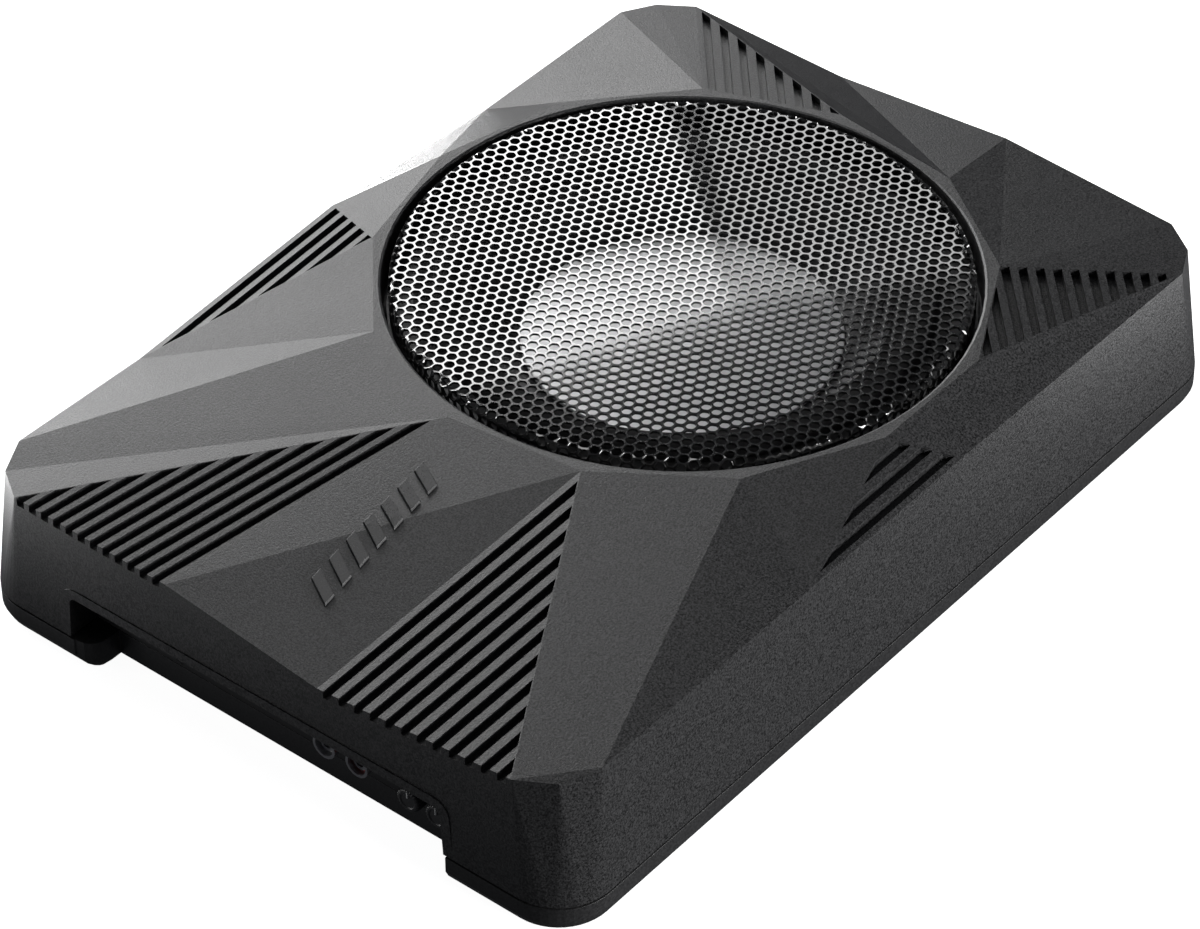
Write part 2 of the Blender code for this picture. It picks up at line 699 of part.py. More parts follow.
def make_bottom_tray():
    """A shallow pan with a rounded foot edge, a locating tongue and a notch for the bay."""
    bm = bmesh.new()
    levels = (
        (0.0038, TRAY_Z),
        (0.0013, TRAY_Z + 0.0010),
        (0.0, TRAY_Z + 0.0038),
        (0.0, TRAY_RIM_Z),
        (TONGUE_INSET, TRAY_RIM_Z),
        (TONGUE_INSET, TONGUE_TOP_Z),
    )
    rings = [inset_ring(bm, inset, z) for inset, z in levels]
    for first, second in zip(rings, rings[1:]):
        bridge(bm, first, second)
    bm.faces.new(rings[0][::-1])
    bm.faces.new(rings[-1])
    tray = finish_object("bottom_tray", bm, "tray_plastic", smooth_angle=35)

    cavity = bmesh.new()
    low = inset_ring(cavity, TRAY_WALL, TRAY_FLOOR_Z)
    high = inset_ring(cavity, TRAY_WALL, TONGUE_TOP_Z + 0.002)
    bridge(cavity, low, high)
    cavity.faces.new(low[::-1])
    cavity.faces.new(high)
    cavity_cutter = cutter_from("tray_cavity", cavity)
    keep = bmesh.new()
    keep_outline = box_outline(-0.2, BAY_INNER_X, -0.0885, 0.0885)
    prism(keep, keep_outline, 0.0, 0.03)
    for x in SCREW_X:
        for side in (-1, 1):
            add_cylinder(keep, BOSS_RADIUS, 0.001, 0.03, x, side * SCREW_Y)
    combine(cavity_cutter, cutter_from("tray_solid_places", keep), "DIFFERENCE")
    combine(tray, cavity_cutter, "DIFFERENCE")

    posts = bmesh.new()
    for x, y in POST_PLACES:
        add_cylinder(posts, POST_RADIUS, TRAY_FLOOR_Z - 0.001, BOARD_Z - GAP, x, y)
    combine(tray, cutter_from("board_posts", posts), "UNION")
    pins = bmesh.new()
    for x, y in POST_PLACES:
        add_cylinder(pins, PIN_RADIUS, BOARD_Z - 0.001, PIN_TOP_Z, x, y, 8)
    combine(tray, cutter_from("board_pins", pins), "UNION")

    notch = bmesh.new()
    outline = [(-0.19, TRAY_LEG_RIGHT_Y), (BAY_BACK_X, TRAY_LEG_RIGHT_Y), (BAY_BACK_X, TRAY_LEG_LEFT_Y)]
    outline += fillet(
        Vector((-HALF_LENGTH + 0.0004, TRAY_LEG_LEFT_Y)),
        Vector((BAY_BACK_X, TRAY_LEG_LEFT_Y)),
        Vector((-HALF_LENGTH + 0.0004, HALF_WIDTH)),
        0.008,
    )
    outline.append((-0.19, TRAY_LEG_LEFT_Y + 0.008))
    prism(notch, outline, -0.01, 0.03)
    combine(tray, cutter_from("bay_notch", notch), "DIFFERENCE")

    step = bmesh.new()
    prism(step, box_outline(-0.19, BAY_INNER_X + 0.0002, -0.0886, 0.0886), TRAY_RIM_Z, 0.03)
    combine(tray, cutter_from("bay_step", step), "DIFFERENCE")

    holes = bmesh.new()
    for x in SCREW_X:
        for side in (-1, 1):
            add_cylinder(holes, SCREW_HOLE_RADIUS, -0.001, 0.03, x, side * SCREW_Y, 8)
    combine(tray, cutter_from("tray_screw_holes", holes), "DIFFERENCE")
    counterbores = bmesh.new()
    for x in SCREW_X:
        for side in (-1, 1):
            add_cylinder(counterbores, COUNTERBORE_RADIUS, -0.001, COUNTERBORE_TOP_Z, x, side * SCREW_Y)
    combine(tray, cutter_from("tray_counterbores", counterbores), "DIFFERENCE")


def make_case_gasket():
    """A thin sealing band between the cover's rim and the tray's rim, open across the bay."""
    bm = bmesh.new()
    low_z, high_z = TRAY_RIM_Z + 0.0002, SEAM_Z - 0.0002
    rings = [
        inset_ring(bm, inset, z)
        for inset, z in ((0.0006, low_z), (0.0006, high_z), (0.0029, high_z), (0.0029, low_z))
    ]
    for first, second in zip(rings, rings[1:] + rings[:1]):
        bridge(bm, first, second)
    gasket = finish_object("case_gasket", bm, "black_rubber", smooth_angle=35)
    gap = bmesh.new()
    prism(gap, box_outline(-0.19, -0.165, -0.0886, 0.0886), 0.0, 0.03)
    combine(gasket, cutter_from("gasket_gap", gap), "DIFFERENCE")


def make_feet():
    places = [(x, y) for x in (-0.148, 0.148) for y in (-0.098, 0.098)]
    profile = [
        (0, 0),
        (FOOT_RADIUS - 0.0004, 0),
        (FOOT_RADIUS, 0.0004),
        (FOOT_RADIUS, FOOT_TOP_Z),
        (0, FOOT_TOP_Z),
    ]
    for number, (x, y) in enumerate(places, 1):
        turned(f"foot_{number}", profile, "black_rubber", 20, (x, y, 0))


def screw_profile(head_radius, head_height, shank_radius, length):
    """A screw that points up: its head's face is at zero and its tip at its length."""
    return [
        (0, 0),
        (head_radius - 0.0004, 0),
        (head_radius, 0.0004),
        (head_radius, head_height),
        (shank_radius, head_height),
        (shank_radius, length - 0.0015),
        (0, length),
    ]


def make_case_screws():
    head_z = COUNTERBORE_TOP_Z - GAP - 0.0026
    profile = screw_profile(0.0038, 0.0026, 0.0018, SCREW_TIP_Z - head_z)
    number = 0
    for x in SCREW_X:
        for side in (-1, 1):
            number += 1
            place = (x, side * SCREW_Y, head_z)
            turned(f"case_screw_{number}", profile, "black_screw", 10, place, 30)


def make_badge_plate():
    """A plain raised plate that lies across two facets, folded along the edge between them."""
    points = {**edge_points(), **collar_points(COLLAR_RADIUS, COLLAR_Z)}
    light = facet_height(points, ("near_1", "c1", "c13"))
    dark = facet_height(points, ("near_1", "near_2", "c1"))
    fold_start, fold_end = Vector(points["near_1"]).to_2d(), Vector(points["c1"]).to_2d()
    fold = (fold_end - fold_start).normalized()
    across = Vector((-fold.y, fold.x))
    outline = [(-0.1512, -0.0078), (-0.0900, -0.0045), (-0.0848, 0.0058), (-0.1460, 0.0025)]
    bm = bmesh.new()
    faces = []
    for inward, height in ((across, light), (-across, dark)):
        half = clip(outline, fold_start, inward)
        low = [(x, y, height(x, y) + GAP) for x, y in half]
        faces.append(low)
    thickness = 0.0009
    for level in (0.0, thickness):
        for half in faces:
            verts = [bm.verts.new((x, y, z + level)) for x, y, z in half]
            bm.faces.new(verts)
    bmesh.ops.remove_doubles(bm, verts=bm.verts, dist=1e-6)
    boundary = [edge for edge in bm.edges if edge.is_boundary]
    bmesh.ops.bridge_loops(bm, edges=boundary)
    finish_object("badge_plate", bm, "powder_coat")


# ---- Grille and driver --------------------------------------------------------------------------

def driver_screw_places():
    return [
        (DRIVER_X + x, y)
        for x, y, _ in circle_points(DRIVER_SCREW_CIRCLE, DRIVER_SCREW_COUNT, 0, math.radians(30))
    ]


def arc_profile(centre, radius, start, end, steps):
    """Points of an arc in the (radius, height) plane; angles in degrees."""
    points = []
    for k in range(steps + 1):
        angle = math.radians(start + (end - start) * k / steps)
        points.append((centre[0] + radius * math.cos(angle), centre[1] + radius * math.sin(angle)))
    return points


def driver_part(name, profile, finish, steps=40, smooth_angle=40):
    return turned(name, profile, finish, steps, (DRIVER_X, 0, 0), smooth_angle)


def make_grille():
    """A pressed cap: flat top, bent edge and a rim that stands on the driver's flange."""
    inner = GRILLE_RADIUS - GRILLE_SHEET
    bend = (GRILLE_RADIUS - GRILLE_BEND, GRILLE_TOP_Z - GRILLE_BEND)
    foot_z = FLANGE_TOP_Z + GAP
    outside = arc_profile(bend, GRILLE_BEND, 0, 90, 3)
    inside = arc_profile(bend, GRILLE_BEND - GRILLE_SHEET, 90, 0, 1)
    profile = [(inner, foot_z), (GRILLE_RADIUS, foot_z)] + outside
    profile += [(0, GRILLE_TOP_Z), (0, GRILLE_TOP_Z - GRILLE_SHEET)] + inside
    rotated = profile[-3:] + profile[:-3]
    start = rotated.index((0, GRILLE_TOP_Z - GRILLE_SHEET))
    ordered = rotated[start:] + rotated[:start]
    driver_part("driver_grille", ordered, "grille_steel", 48)


def make_basket():
    profile = [
        (FLANGE_RADIUS, FLANGE_BOTTOM_Z),
        (FLANGE_RADIUS, FLANGE_TOP_Z),
        (0.0820, FLANGE_TOP_Z),
        (0.0630, 0.0340),
        (0.0630, 0.0320),
        (0.0570, 0.0320),
        (0.0555, 0.0288),
        (0.0400, 0.0288),
        (0.0400, 0.0268),
        (0.0570, 0.0268),
        (0.0588, 0.0302),
        BASKET_FOOT,
        BASKET_TOP,
    ]
    basket = driver_part("driver_basket", profile, "basket_steel", 36)
    windows = bmesh.new()
    count = 6
    for k in range(count):
        angle = 2 * math.pi * (k + 0.5) / count
        turn = Matrix.Rotation(angle, 2)
        outline = [(0.055, -0.016), (0.1, -0.027), (0.1, 0.027), (0.055, 0.016)]
        placed = [turn @ Vector(point) for point in outline]
        prism(windows, [(DRIVER_X + point.x, point.y) for point in placed], 0.0365, 0.0535)
    combine(basket, cutter_from("basket_windows", windows), "DIFFERENCE")
    holes = bmesh.new()
    for x, y in driver_screw_places():
        add_cylinder(holes, 0.0019, FLANGE_BOTTOM_Z - 0.001, FLANGE_TOP_Z + 0.001, x, y, 8)
    combine(basket, cutter_from("basket_holes", holes), "DIFFERENCE")


def make_driver_gasket():
    low, high = LEDGE_TOP_Z + GAP, FLANGE_BOTTOM_Z - GAP
    driver_part("driver_gasket", ring_profile(0.0952, 0.0993, low, high), "black_rubber", 36)


def ring_profile(inner, outer, low, high):
    return [(inner, low), (outer, low), (outer, high), (inner, high)]


def make_driver_screws():
    """Pan heads on the flange, shanks pointing down through the cover's ledge."""
    length = 0.0105
    profile = [
        (radius, -height) for radius, height in screw_profile(0.0026, 0.0018, 0.0016, length)
    ]
    top_z = FLANGE_TOP_Z + GAP + 0.0018
    for number, (x, y) in enumerate(driver_screw_places(), 1):
        turned(f"driver_screw_{number}", profile, "black_screw", 10, (x, y, top_z), 30)


def make_surround():
    """Half-roll rubber edge between the cone's lip and the basket's flange."""
    low, high = SURROUND_Z, SURROUND_Z + SURROUND_WALL
    centre = (ROLL_CENTRE_RADIUS, (low + high) / 2)
    outer_arc = arc_profile(centre, ROLL_RADIUS, 4, 176, 6)
    inner_arc = arc_profile(centre, ROLL_RADIUS - SURROUND_WALL, 176, 4, 6)
    profile = [(0.0895, low), (0.0895, high)] + outer_arc
    profile += [(CONE_LIP_RADIUS, high), (CONE_LIP_RADIUS, low)] + inner_arc
    driver_part("surround", profile, "black_rubber", 36)


def make_cone():
    """Shallow paper cone with a flat lip outside and a neck on the voice coil former."""
    lip_z = FLANGE_TOP_Z
    wall = 0.0009
    neck = FORMER_RADIUS + GAP
    seat_z = CAP_RIM_Z - GAP
    profile = [
        (CONE_EDGE_RADIUS, lip_z - wall),
        (CONE_EDGE_RADIUS, lip_z),
        (CONE_LIP_RADIUS, lip_z),
        (0.0612, 0.0500),
        (CAP_RADIUS + 0.0008, seat_z),
        (CAP_RADIUS - 0.004, seat_z - 0.0014),
        (neck, 0.0392),
        (neck, 0.0392 - wall),
        (CAP_RADIUS - 0.004, seat_z - 0.0014 - wall),
        (CAP_RADIUS + 0.0012, seat_z - wall),
        (0.0620, 0.0492),
        (CONE_LIP_RADIUS + 0.0008, lip_z - wall),
    ]
    driver_part("cone", profile, "cone_paper", 36)


def make_dust_cap():
    """A wide, slightly crowned metal cap."""
    wall = 0.0008
    steps = 3
    sphere = (CAP_RADIUS ** 2 + CAP_CROWN ** 2) / (2 * CAP_CROWN)
    rise = math.asin(CAP_RADIUS / sphere)
    top = []
    for k in range(steps + 1):
        angle = rise * k / steps
        radius = sphere * math.sin(angle)
        top.append((radius, CAP_RIM_Z + wall + CAP_CROWN - sphere * (1 - math.cos(angle))))
    bottom = [(radius, z - wall) for radius, z in reversed(top)]
    driver_part("dust_cap", top + bottom, "cap_aluminium", 44)


def make_motor():
    former_in = FORMER_RADIUS - FORMER_WALL
    former_foot = YOKE_TOP_Z + EXCURSION + 0.002
    driver_part(
        "voice_coil_former",
        ring_profile(former_in, FORMER_RADIUS, former_foot, 0.0435),
        "former_foil",
        28,
    )
    driver_part(
        "voice_coil_winding",
        ring_profile(FORMER_RADIUS + GAP, FORMER_RADIUS + 0.0012, former_foot, 0.0295),
        "copper",
        28,
    )
    driver_part("top_plate", ring_profile(0.028, 0.052, 0.0215, 0.0265), "plated_steel", 30)
    driver_part("magnet", ring_profile(0.032, 0.058, 0.0108, 0.0212), "ferrite", 30)
    yoke = [
        (0.006, 0.0055),
        (0.056, 0.0055),
        (0.056, YOKE_TOP_Z),
        (0.0248, YOKE_TOP_Z),
        (0.0248, 0.0265),
        (0.006, 0.0265),
    ]
    driver_part("pole_yoke", yoke, "plated_steel", 30)


def make_spider():
    """Corrugated cloth disc that centres the voice coil."""
    wall = 0.0005
    middle_z = 0.0336
    first, last = 0.029, 0.0555
    waves, steps = 2, 8
    upper = [(FORMER_RADIUS + GAP, middle_z + 0.0012)]
    for k in range(steps + 1):
        radius = first + (last - first) * k / steps
        upper.append((radius, middle_z + 0.001 * math.sin(2 * math.pi * waves * k / steps)))
    upper += [(0.0575, 0.0328), (0.0625, 0.0328)]
    lower = [(radius, z - wall) for radius, z in reversed(upper)]
    driver_part("spider", upper + lower, "spider_cloth", 22, 60)


def tube(name, points, radius, finish):
    """A round wire along a smooth route."""
    curve = bpy.data.curves.new(name, "CURVE")
    curve.dimensions = "3D"
    curve.bevel_depth = radius
    curve.bevel_resolution = 2
    curve.use_fill_caps = True
    spline = curve.splines.new("POLY")
    spline.points.add(len(points) - 1)
    for place, point in zip(spline.points, points):
        place.co = (*point, 1.0)
    curve.materials.append(look(finish))
    item = bpy.data.objects.new(name, curve)
    bpy.context.collection.objects.link(item)
    return item


def bezier(a, b, c, d, steps):
    """Points of a cubic curve from a to d."""
    points = []
    for k in range(steps + 1):
        t = k / steps
        weights = ((1 - t) ** 3, 3 * t * (1 - t) ** 2, 3 * t * t * (1 - t), t ** 3)
        points.append(sum((w * Vector(p) for w, p in zip(weights, (a, b, c, d))), Vector()))
    return points


def make_terminal_and_leads():
    """Terminal block on the basket's sloping wall, with a lead from the board to each tab."""
    slope = (BASKET_TOP[0] - BASKET_FOOT[0]) / (BASKET_TOP[1] - BASKET_FOOT[1])
    low, high = TERMINAL_Z - 0.004, TERMINAL_Z + 0.004
    outline = [(TERMINAL_X, low), (TERMINAL_X, high)]
    for z in (high, low):
        outline.append((DRIVER_X - GAP - BASKET_FOOT[0] - slope * (z - BASKET_FOOT[1]), z))
    bm = bmesh.new()
    near = add_ring(bm, [(x, -0.009, z) for x, z in outline])
    far = add_ring(bm, [(x, 0.009, z) for x, z in outline])
    bridge(bm, near, far)
    bm.faces.new(near)
    bm.faces.new(far[::-1])
    finish_object("speaker_terminal", bm, "socket_plastic")
    for name, y, finish in (
        ("speaker_lead_positive", 0.0045, "wire_red"),
        ("speaker_lead_negative", -0.0045, "wire_black"),
    ):
        start = (-0.084, y, BOARD_TOP_Z + GAP)
        end = (TERMINAL_X - GAP, y, TERMINAL_Z)
        route = bezier(start, (-0.084, y, 0.034), (-0.062, y, TERMINAL_Z), end, 12)
        tube(name, route, 0.0013, finish)


# ---- Amplifier ----------------------------------------------------------------------------------

def make_board():
    """Circuit board that stands on the tray's posts, with a hole over each post's pin."""
    board = block(
        "amplifier_board",
        (BOARD_MIN[0], BOARD_MIN[1], BOARD_Z),
        (BOARD_MAX[0], BOARD_MAX[1], BOARD_TOP_Z),
        "board_laminate",
    )
    holes = bmesh.new()
    for x, y in POST_PLACES:
        add_cylinder(holes, PIN_RADIUS + GAP, BOARD_Z - 0.001, BOARD_TOP_Z + 0.001, x, y, 8)
    combine(board, cutter_from("board_holes", holes), "DIFFERENCE")


def toroid(name, x, y, ring, section, finish):
    """A wound ring lying on the board."""
    centre = (ring, BOARD_TOP_Z + GAP + section)
    profile = arc_profile(centre, section, 0, 300, 5)
    return turned(name, profile, finish, 18, (x, y, 0), 60)


def make_board_parts():
    toroid("power_transformer", -0.112, 0.030, 0.0135, 0.0080, "copper")
    toroid("output_choke", -0.098, -0.008, 0.0085, 0.0045, "core_yellow")
    low = BOARD_TOP_Z + GAP
    for number, y in enumerate((-0.030, -0.053), 1):
        top = low + 0.030
        profile = [
            (0, low),
            (0.0088, low),
            (0.009, low + 0.002),
            (0.009, top - 0.001),
            (0.0082, top),
            (0, top),
        ]
        turned(f"capacitor_{number}", profile, "sleeve_black", 18, (-0.108, y, 0), 40)
    make_heat_sink()
    for number, x in enumerate((-0.128, -0.102), 1):
        block(
            f"transistor_{number}",
            (x - 0.008, 0.0655, low),
            (x + 0.008, 0.0697, low + 0.018),
            "sleeve_black",
            0.0004,
        )


def make_heat_sink():
    """Finned bar on the tray beside the board; the fins stand across it."""
    x0, x1 = -0.142, -0.086
    base_y, back_y, tip_y = 0.0705, 0.0745, 0.090
    fins, fin = 7, 0.0022
    pitch = (x1 - x0 - fin) / (fins - 1)
    outline = [(x0, base_y), (x1, base_y)]
    for k in reversed(range(fins)):
        left = x0 + k * pitch
        outline += [(left + fin, tip_y), (left, tip_y)]
        if k:
            outline += [(left, back_y), (left - pitch + fin, back_y)]
    bm = bmesh.new()
    prism(bm, outline, TRAY_FLOOR_Z + GAP, 0.032)
    finish_object("heat_sink", bm, "heat_sink")


# ---- Connector panel ----------------------------------------------------------------------------

# Rectangular fittings in the panel: place along the panel, width, height
POWER_SOCKET = (0.0590, 0.0260, 0.0150)
FUSE_HOLDER = (0.0345, 0.0180, 0.0130)
HIGH_LEVEL_SOCKET = (0.0090, 0.0200, 0.0120)
REMOTE_SOCKET = (-0.0090, 0.0120, 0.0110)
SWITCH_Y = -0.0470
SWITCH_SIZE = (0.0076, 0.0042)
PHASE_SWITCH_Z = 0.0255
AUTO_SWITCH_Z = 0.0175
SWITCH_TRAVEL = 0.0025
LED_Y = 0.0216
LED_RADIUS = 0.0016
RCA_Y = {"rca_socket_left": -0.0225, "rca_socket_right": -0.0360}
RCA_RADIUS = 0.0046
KNOB_Y = {"gain": -0.0585, "crossover": -0.0700}
KNOB_RADIUS = 0.0046
KNOB_HOLE_RADIUS = 0.0034
PANEL_BACK_X = PANEL_FACE_X + PANEL_THICKNESS


def make_connector_panel():
    bm = bmesh.new()
    section = bay_section(-GAP, TRAY_RIM_Z + GAP)
    end_prism(bm, section, PANEL_FACE_X, PANEL_BACK_X)
    panel = finish_object("connector_panel", bm, "panel_black")
    openings = bmesh.new()
    through = (PANEL_FACE_X - 0.002, PANEL_BACK_X + 0.002)
    for y, width, height in (POWER_SOCKET, FUSE_HOLDER, HIGH_LEVEL_SOCKET, REMOTE_SOCKET):
        outline = window(y, PANEL_AXIS_Z, width + 2 * GAP, height + 2 * GAP)
        end_prism(openings, outline, *through)
    for z in (PHASE_SWITCH_Z, AUTO_SWITCH_Z):
        end_prism(openings, window(SWITCH_Y, z, *SWITCH_SIZE), *through)
    add_x_cylinder(openings, LED_RADIUS + GAP, *through, LED_Y, PANEL_AXIS_Z, 12)
    for y in RCA_Y.values():
        add_x_cylinder(openings, RCA_RADIUS + GAP, *through, y, PANEL_AXIS_Z)
    for y in KNOB_Y.values():
        add_x_cylinder(openings, KNOB_HOLE_RADIUS, *through, y, PANEL_AXIS_Z, 14)
    combine(panel, cutter_from("panel_openings", openings), "DIFFERENCE")


def window(y, z, width, height):
    return [
        (y + width / 2, z - height / 2),
        (y + width / 2, z + height / 2),
        (y - width / 2, z + height / 2),
        (y - width / 2, z - height / 2),
    ]


def make_socket(name, place, finish, depth, cells=1, wall=0.0014):
    """A rectangular header: a body through the panel with one or more open cells in its face."""
    y, width, height = place
    face_x = PANEL_FACE_X - 0.0010
    bm = bmesh.new()
    end_prism(bm, window(y, PANEL_AXIS_Z, width, height), face_x, PANEL_BACK_X + 0.0160)
    body = finish_object(name, bm, finish)
    hollow = bmesh.new()
    cell_width = (width - wall * (cells + 1)) / cells
    for cell in range(cells):
        cell_y = y - width / 2 + wall + cell_width / 2 + cell * (cell_width + wall)
        outline = window(cell_y, PANEL_AXIS_Z, cell_width, height - 2 * wall)
        end_prism(hollow, outline, face_x - 0.002, face_x + depth)
    combine(body, cutter_from(name + "_cells", hollow), "DIFFERENCE")


def x_ring(name, y, profile, finish, steps=16):
    """A turned part whose axis runs out of the panel along -X; its height counts from the face."""
    place = (PANEL_FACE_X, y, PANEL_AXIS_Z)
    return turned(name, profile, finish, steps, place, 40, "X")


def make_rca_sockets():
    """Phono sockets: a collar through the panel round a hollow contact."""
    profile = [
        (0, -0.012),
        (RCA_RADIUS, -0.012),
        (RCA_RADIUS, 0.0070),
        (RCA_RADIUS - 0.0010, 0.0070),
        (RCA_RADIUS - 0.0010, -0.0030),
        (0.0026, -0.0030),
        (0.0026, 0.0055),
        (0.0016, 0.0055),
        (0.0016, -0.0040),
        (0, -0.0040),
    ]
    for (name, y), finish in zip(RCA_Y.items(), ("rca_white", "rca_red")):
        x_ring(name, y, profile, finish)


def make_knobs():
    """Each knob is pressed on the shaft of its own potentiometer behind the panel."""
    shaft = 0.0020
    for kind, y in KNOB_Y.items():
        knob = [
            (shaft + GAP, -0.0006),
            (KNOB_HOLE_RADIUS - 0.0004, -0.0006),
            (KNOB_HOLE_RADIUS - 0.0004, 0.0008),
            (KNOB_RADIUS, 0.0008),
            (KNOB_RADIUS, 0.0085),
            (KNOB_RADIUS - 0.0005, 0.0092),
            (0, 0.0092),
            (0, 0.0066),
            (shaft + GAP, 0.0066),
        ]
        start = knob.index((0, 0.0066))
        item = x_ring(f"{kind}_knob", y, knob[start:] + knob[:start], "knob_plastic", 18)
        mark = bmesh.new()
        centre = Vector((PANEL_FACE_X, y, PANEL_AXIS_Z))
        end_prism(mark, window(y, PANEL_AXIS_Z + 0.003, 0.0007, 0.004), centre.x - 0.011, centre.x - 0.0087)
        combine(item, cutter_from(f"{kind}_pointer", mark), "DIFFERENCE")
        pot = [
            (0, -0.0110),
            (0.0050, -0.0110),
            (0.0050, -0.0040),
            (shaft, -0.0040),
            (shaft, 0.0060),
            (0, 0.0060),
        ]
        x_ring(f"{kind}_potentiometer", y, pot, "plated_steel", 12)


def make_switches():
    """Slide switches behind the panel; each slider's tab comes through its window."""
    for name, z in (("phase_switch", PHASE_SWITCH_Z), ("auto_on_switch", AUTO_SWITCH_Z)):
        width, height = SWITCH_SIZE
        front = PANEL_BACK_X + GAP
        bm = bmesh.new()
        end_prism(bm, window(SWITCH_Y, z, width + 0.002, height + 0.002), front, front + 0.006)
        body = finish_object(f"{name}_body", bm, "socket_plastic")
        slot = bmesh.new()
        end_prism(slot, window(SWITCH_Y, z, width - 0.001, height - 0.0008), front - 0.001, front + 0.003)
        combine(body, cutter_from(f"{name}_slot", slot), "DIFFERENCE")
        tab_y = SWITCH_Y + SWITCH_TRAVEL / 2
        tab = bmesh.new()
        end_prism(tab, window(tab_y, z, 0.0030, height - 0.0016), PANEL_FACE_X - 0.0016, front + 0.0026)
        finish_object(f"{name}_slider", tab, "slider_grey")


def make_fuse_and_led():
    y, width, _ = FUSE_HOLDER
    make_socket("fuse_holder", FUSE_HOLDER, "socket_plastic", 0.0100, 1, 0.0020)
    bm = bmesh.new()
    outline = window(y, PANEL_AXIS_Z, width - 0.0050, 0.0050)
    end_prism(bm, outline, PANEL_FACE_X - 0.0045, PANEL_FACE_X + 0.0070)
    bmesh.ops.bevel(bm, geom=bm.edges, offset=0.0004, segments=1, affect="EDGES")
    finish_object("fuse", bm, "fuse_amber")
    profile = [(0, -0.006), (LED_RADIUS, -0.006), (LED_RADIUS, 0.0008), (0.0011, 0.0016), (0, 0.0018)]
    x_ring("status_led", LED_Y, profile, "led_blue", 12)


def make_panel_fittings():
    make_connector_panel()
    make_socket("power_socket", POWER_SOCKET, "socket_plastic", 0.0110, 2)
    make_socket("high_level_socket", HIGH_LEVEL_SOCKET, "socket_plastic", 0.0090)
    make_socket("remote_socket", REMOTE_SOCKET, "socket_plastic", 0.0100)
    make_rca_sockets()
    make_knobs()
    make_switches()
    make_fuse_and_led()


def main():
    clear_scene()
    make_top_shell()
    make_bottom_tray()
    make_case_gasket()
    make_feet()
    make_case_screws()
    make_badge_plate()
    make_grille()
    make_basket()
    make_driver_gasket()
    make_driver_screws()
    make_surround()
    make_cone()
    make_dust_cap()
    make_motor()
    make_spider()
    make_terminal_and_leads()
    make_board()
    make_board_parts()
    make_panel_fittings()


main()
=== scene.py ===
"""Looks for the powered car subwoofer: fine surfaces, materials, light and camera.

Everything is in metres, in the frame of the CAD model: +X from the connector bay to the driver,
+Z up, the origin on the floor at the centre of the footprint.
"""

import math

import bmesh
import bpy
from mathutils import Matrix, Vector


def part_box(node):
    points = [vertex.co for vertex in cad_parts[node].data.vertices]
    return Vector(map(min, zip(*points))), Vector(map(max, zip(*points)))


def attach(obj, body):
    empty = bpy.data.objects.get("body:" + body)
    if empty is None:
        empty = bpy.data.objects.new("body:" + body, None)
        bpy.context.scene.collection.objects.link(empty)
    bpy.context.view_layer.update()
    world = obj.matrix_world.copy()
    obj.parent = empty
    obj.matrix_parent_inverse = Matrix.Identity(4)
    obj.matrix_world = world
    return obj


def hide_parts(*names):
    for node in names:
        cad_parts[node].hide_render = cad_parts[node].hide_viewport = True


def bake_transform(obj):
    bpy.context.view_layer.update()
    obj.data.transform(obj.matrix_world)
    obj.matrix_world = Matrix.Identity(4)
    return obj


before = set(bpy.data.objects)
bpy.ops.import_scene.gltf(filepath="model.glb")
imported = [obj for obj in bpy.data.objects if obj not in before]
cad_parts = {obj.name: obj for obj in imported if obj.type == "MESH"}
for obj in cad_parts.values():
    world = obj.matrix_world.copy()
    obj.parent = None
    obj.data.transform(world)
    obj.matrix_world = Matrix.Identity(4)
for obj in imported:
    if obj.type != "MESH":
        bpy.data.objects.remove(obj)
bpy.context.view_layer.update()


# ---- Camera -------------------------------------------------------------------------------------

CAMERA_AZIMUTH = math.radians(-50.61)
CAMERA_ELEVATION = math.radians(40.27)
CAMERA_ROLL = math.radians(-0.35)
CAMERA_DISTANCE = 1.612
CAMERA_TARGET = Vector((0.0069, 0.0113, 0.0015))
CAMERA_LENS = 142.95


def make_camera():
    """A long lens looking down on the corner between the connector end and the plain side."""
    backward = Vector((
        math.sin(CAMERA_AZIMUTH) * math.cos(CAMERA_ELEVATION),
        -math.cos(CAMERA_AZIMUTH) * math.cos(CAMERA_ELEVATION),
        math.sin(CAMERA_ELEVATION),
    ))
    level_right = (-backward).cross(Vector((0, 0, 1))).normalized()
    level_up = backward.cross(level_right)
    right = level_right * math.cos(CAMERA_ROLL) + level_up * math.sin(CAMERA_ROLL)
    up = backward.cross(right)
    data = bpy.data.cameras.new("camera")
    data.lens = CAMERA_LENS
    data.sensor_width = 36
    data.clip_start = 0.05
    data.clip_end = 30
    camera = bpy.data.objects.new("camera", data)
    bpy.context.scene.collection.objects.link(camera)
    turn = Matrix((right, up, backward)).transposed().to_4x4()
    camera.matrix_world = Matrix.Translation(CAMERA_TARGET + backward * CAMERA_DISTANCE) @ turn
    bpy.context.scene.camera = camera
    return camera


camera = make_camera()


# ---- Light, floor and world ---------------------------------------------------------------------

def add_area_light(name, place, size, radiance, turn):
    """A rectangular light of a given brightness, unseen by the camera itself."""
    data = bpy.data.lights.new(name, "AREA")
    data.shape = "RECTANGLE"
    data.size, data.size_y = size
    data.energy = radiance * math.pi * size[0] * size[1]
    light = bpy.data.objects.new(name, data)
    bpy.context.scene.collection.objects.link(light)
    light.matrix_world = Matrix.Translation(place) @ turn.to_4x4()
    light.visible_camera = False
    return light


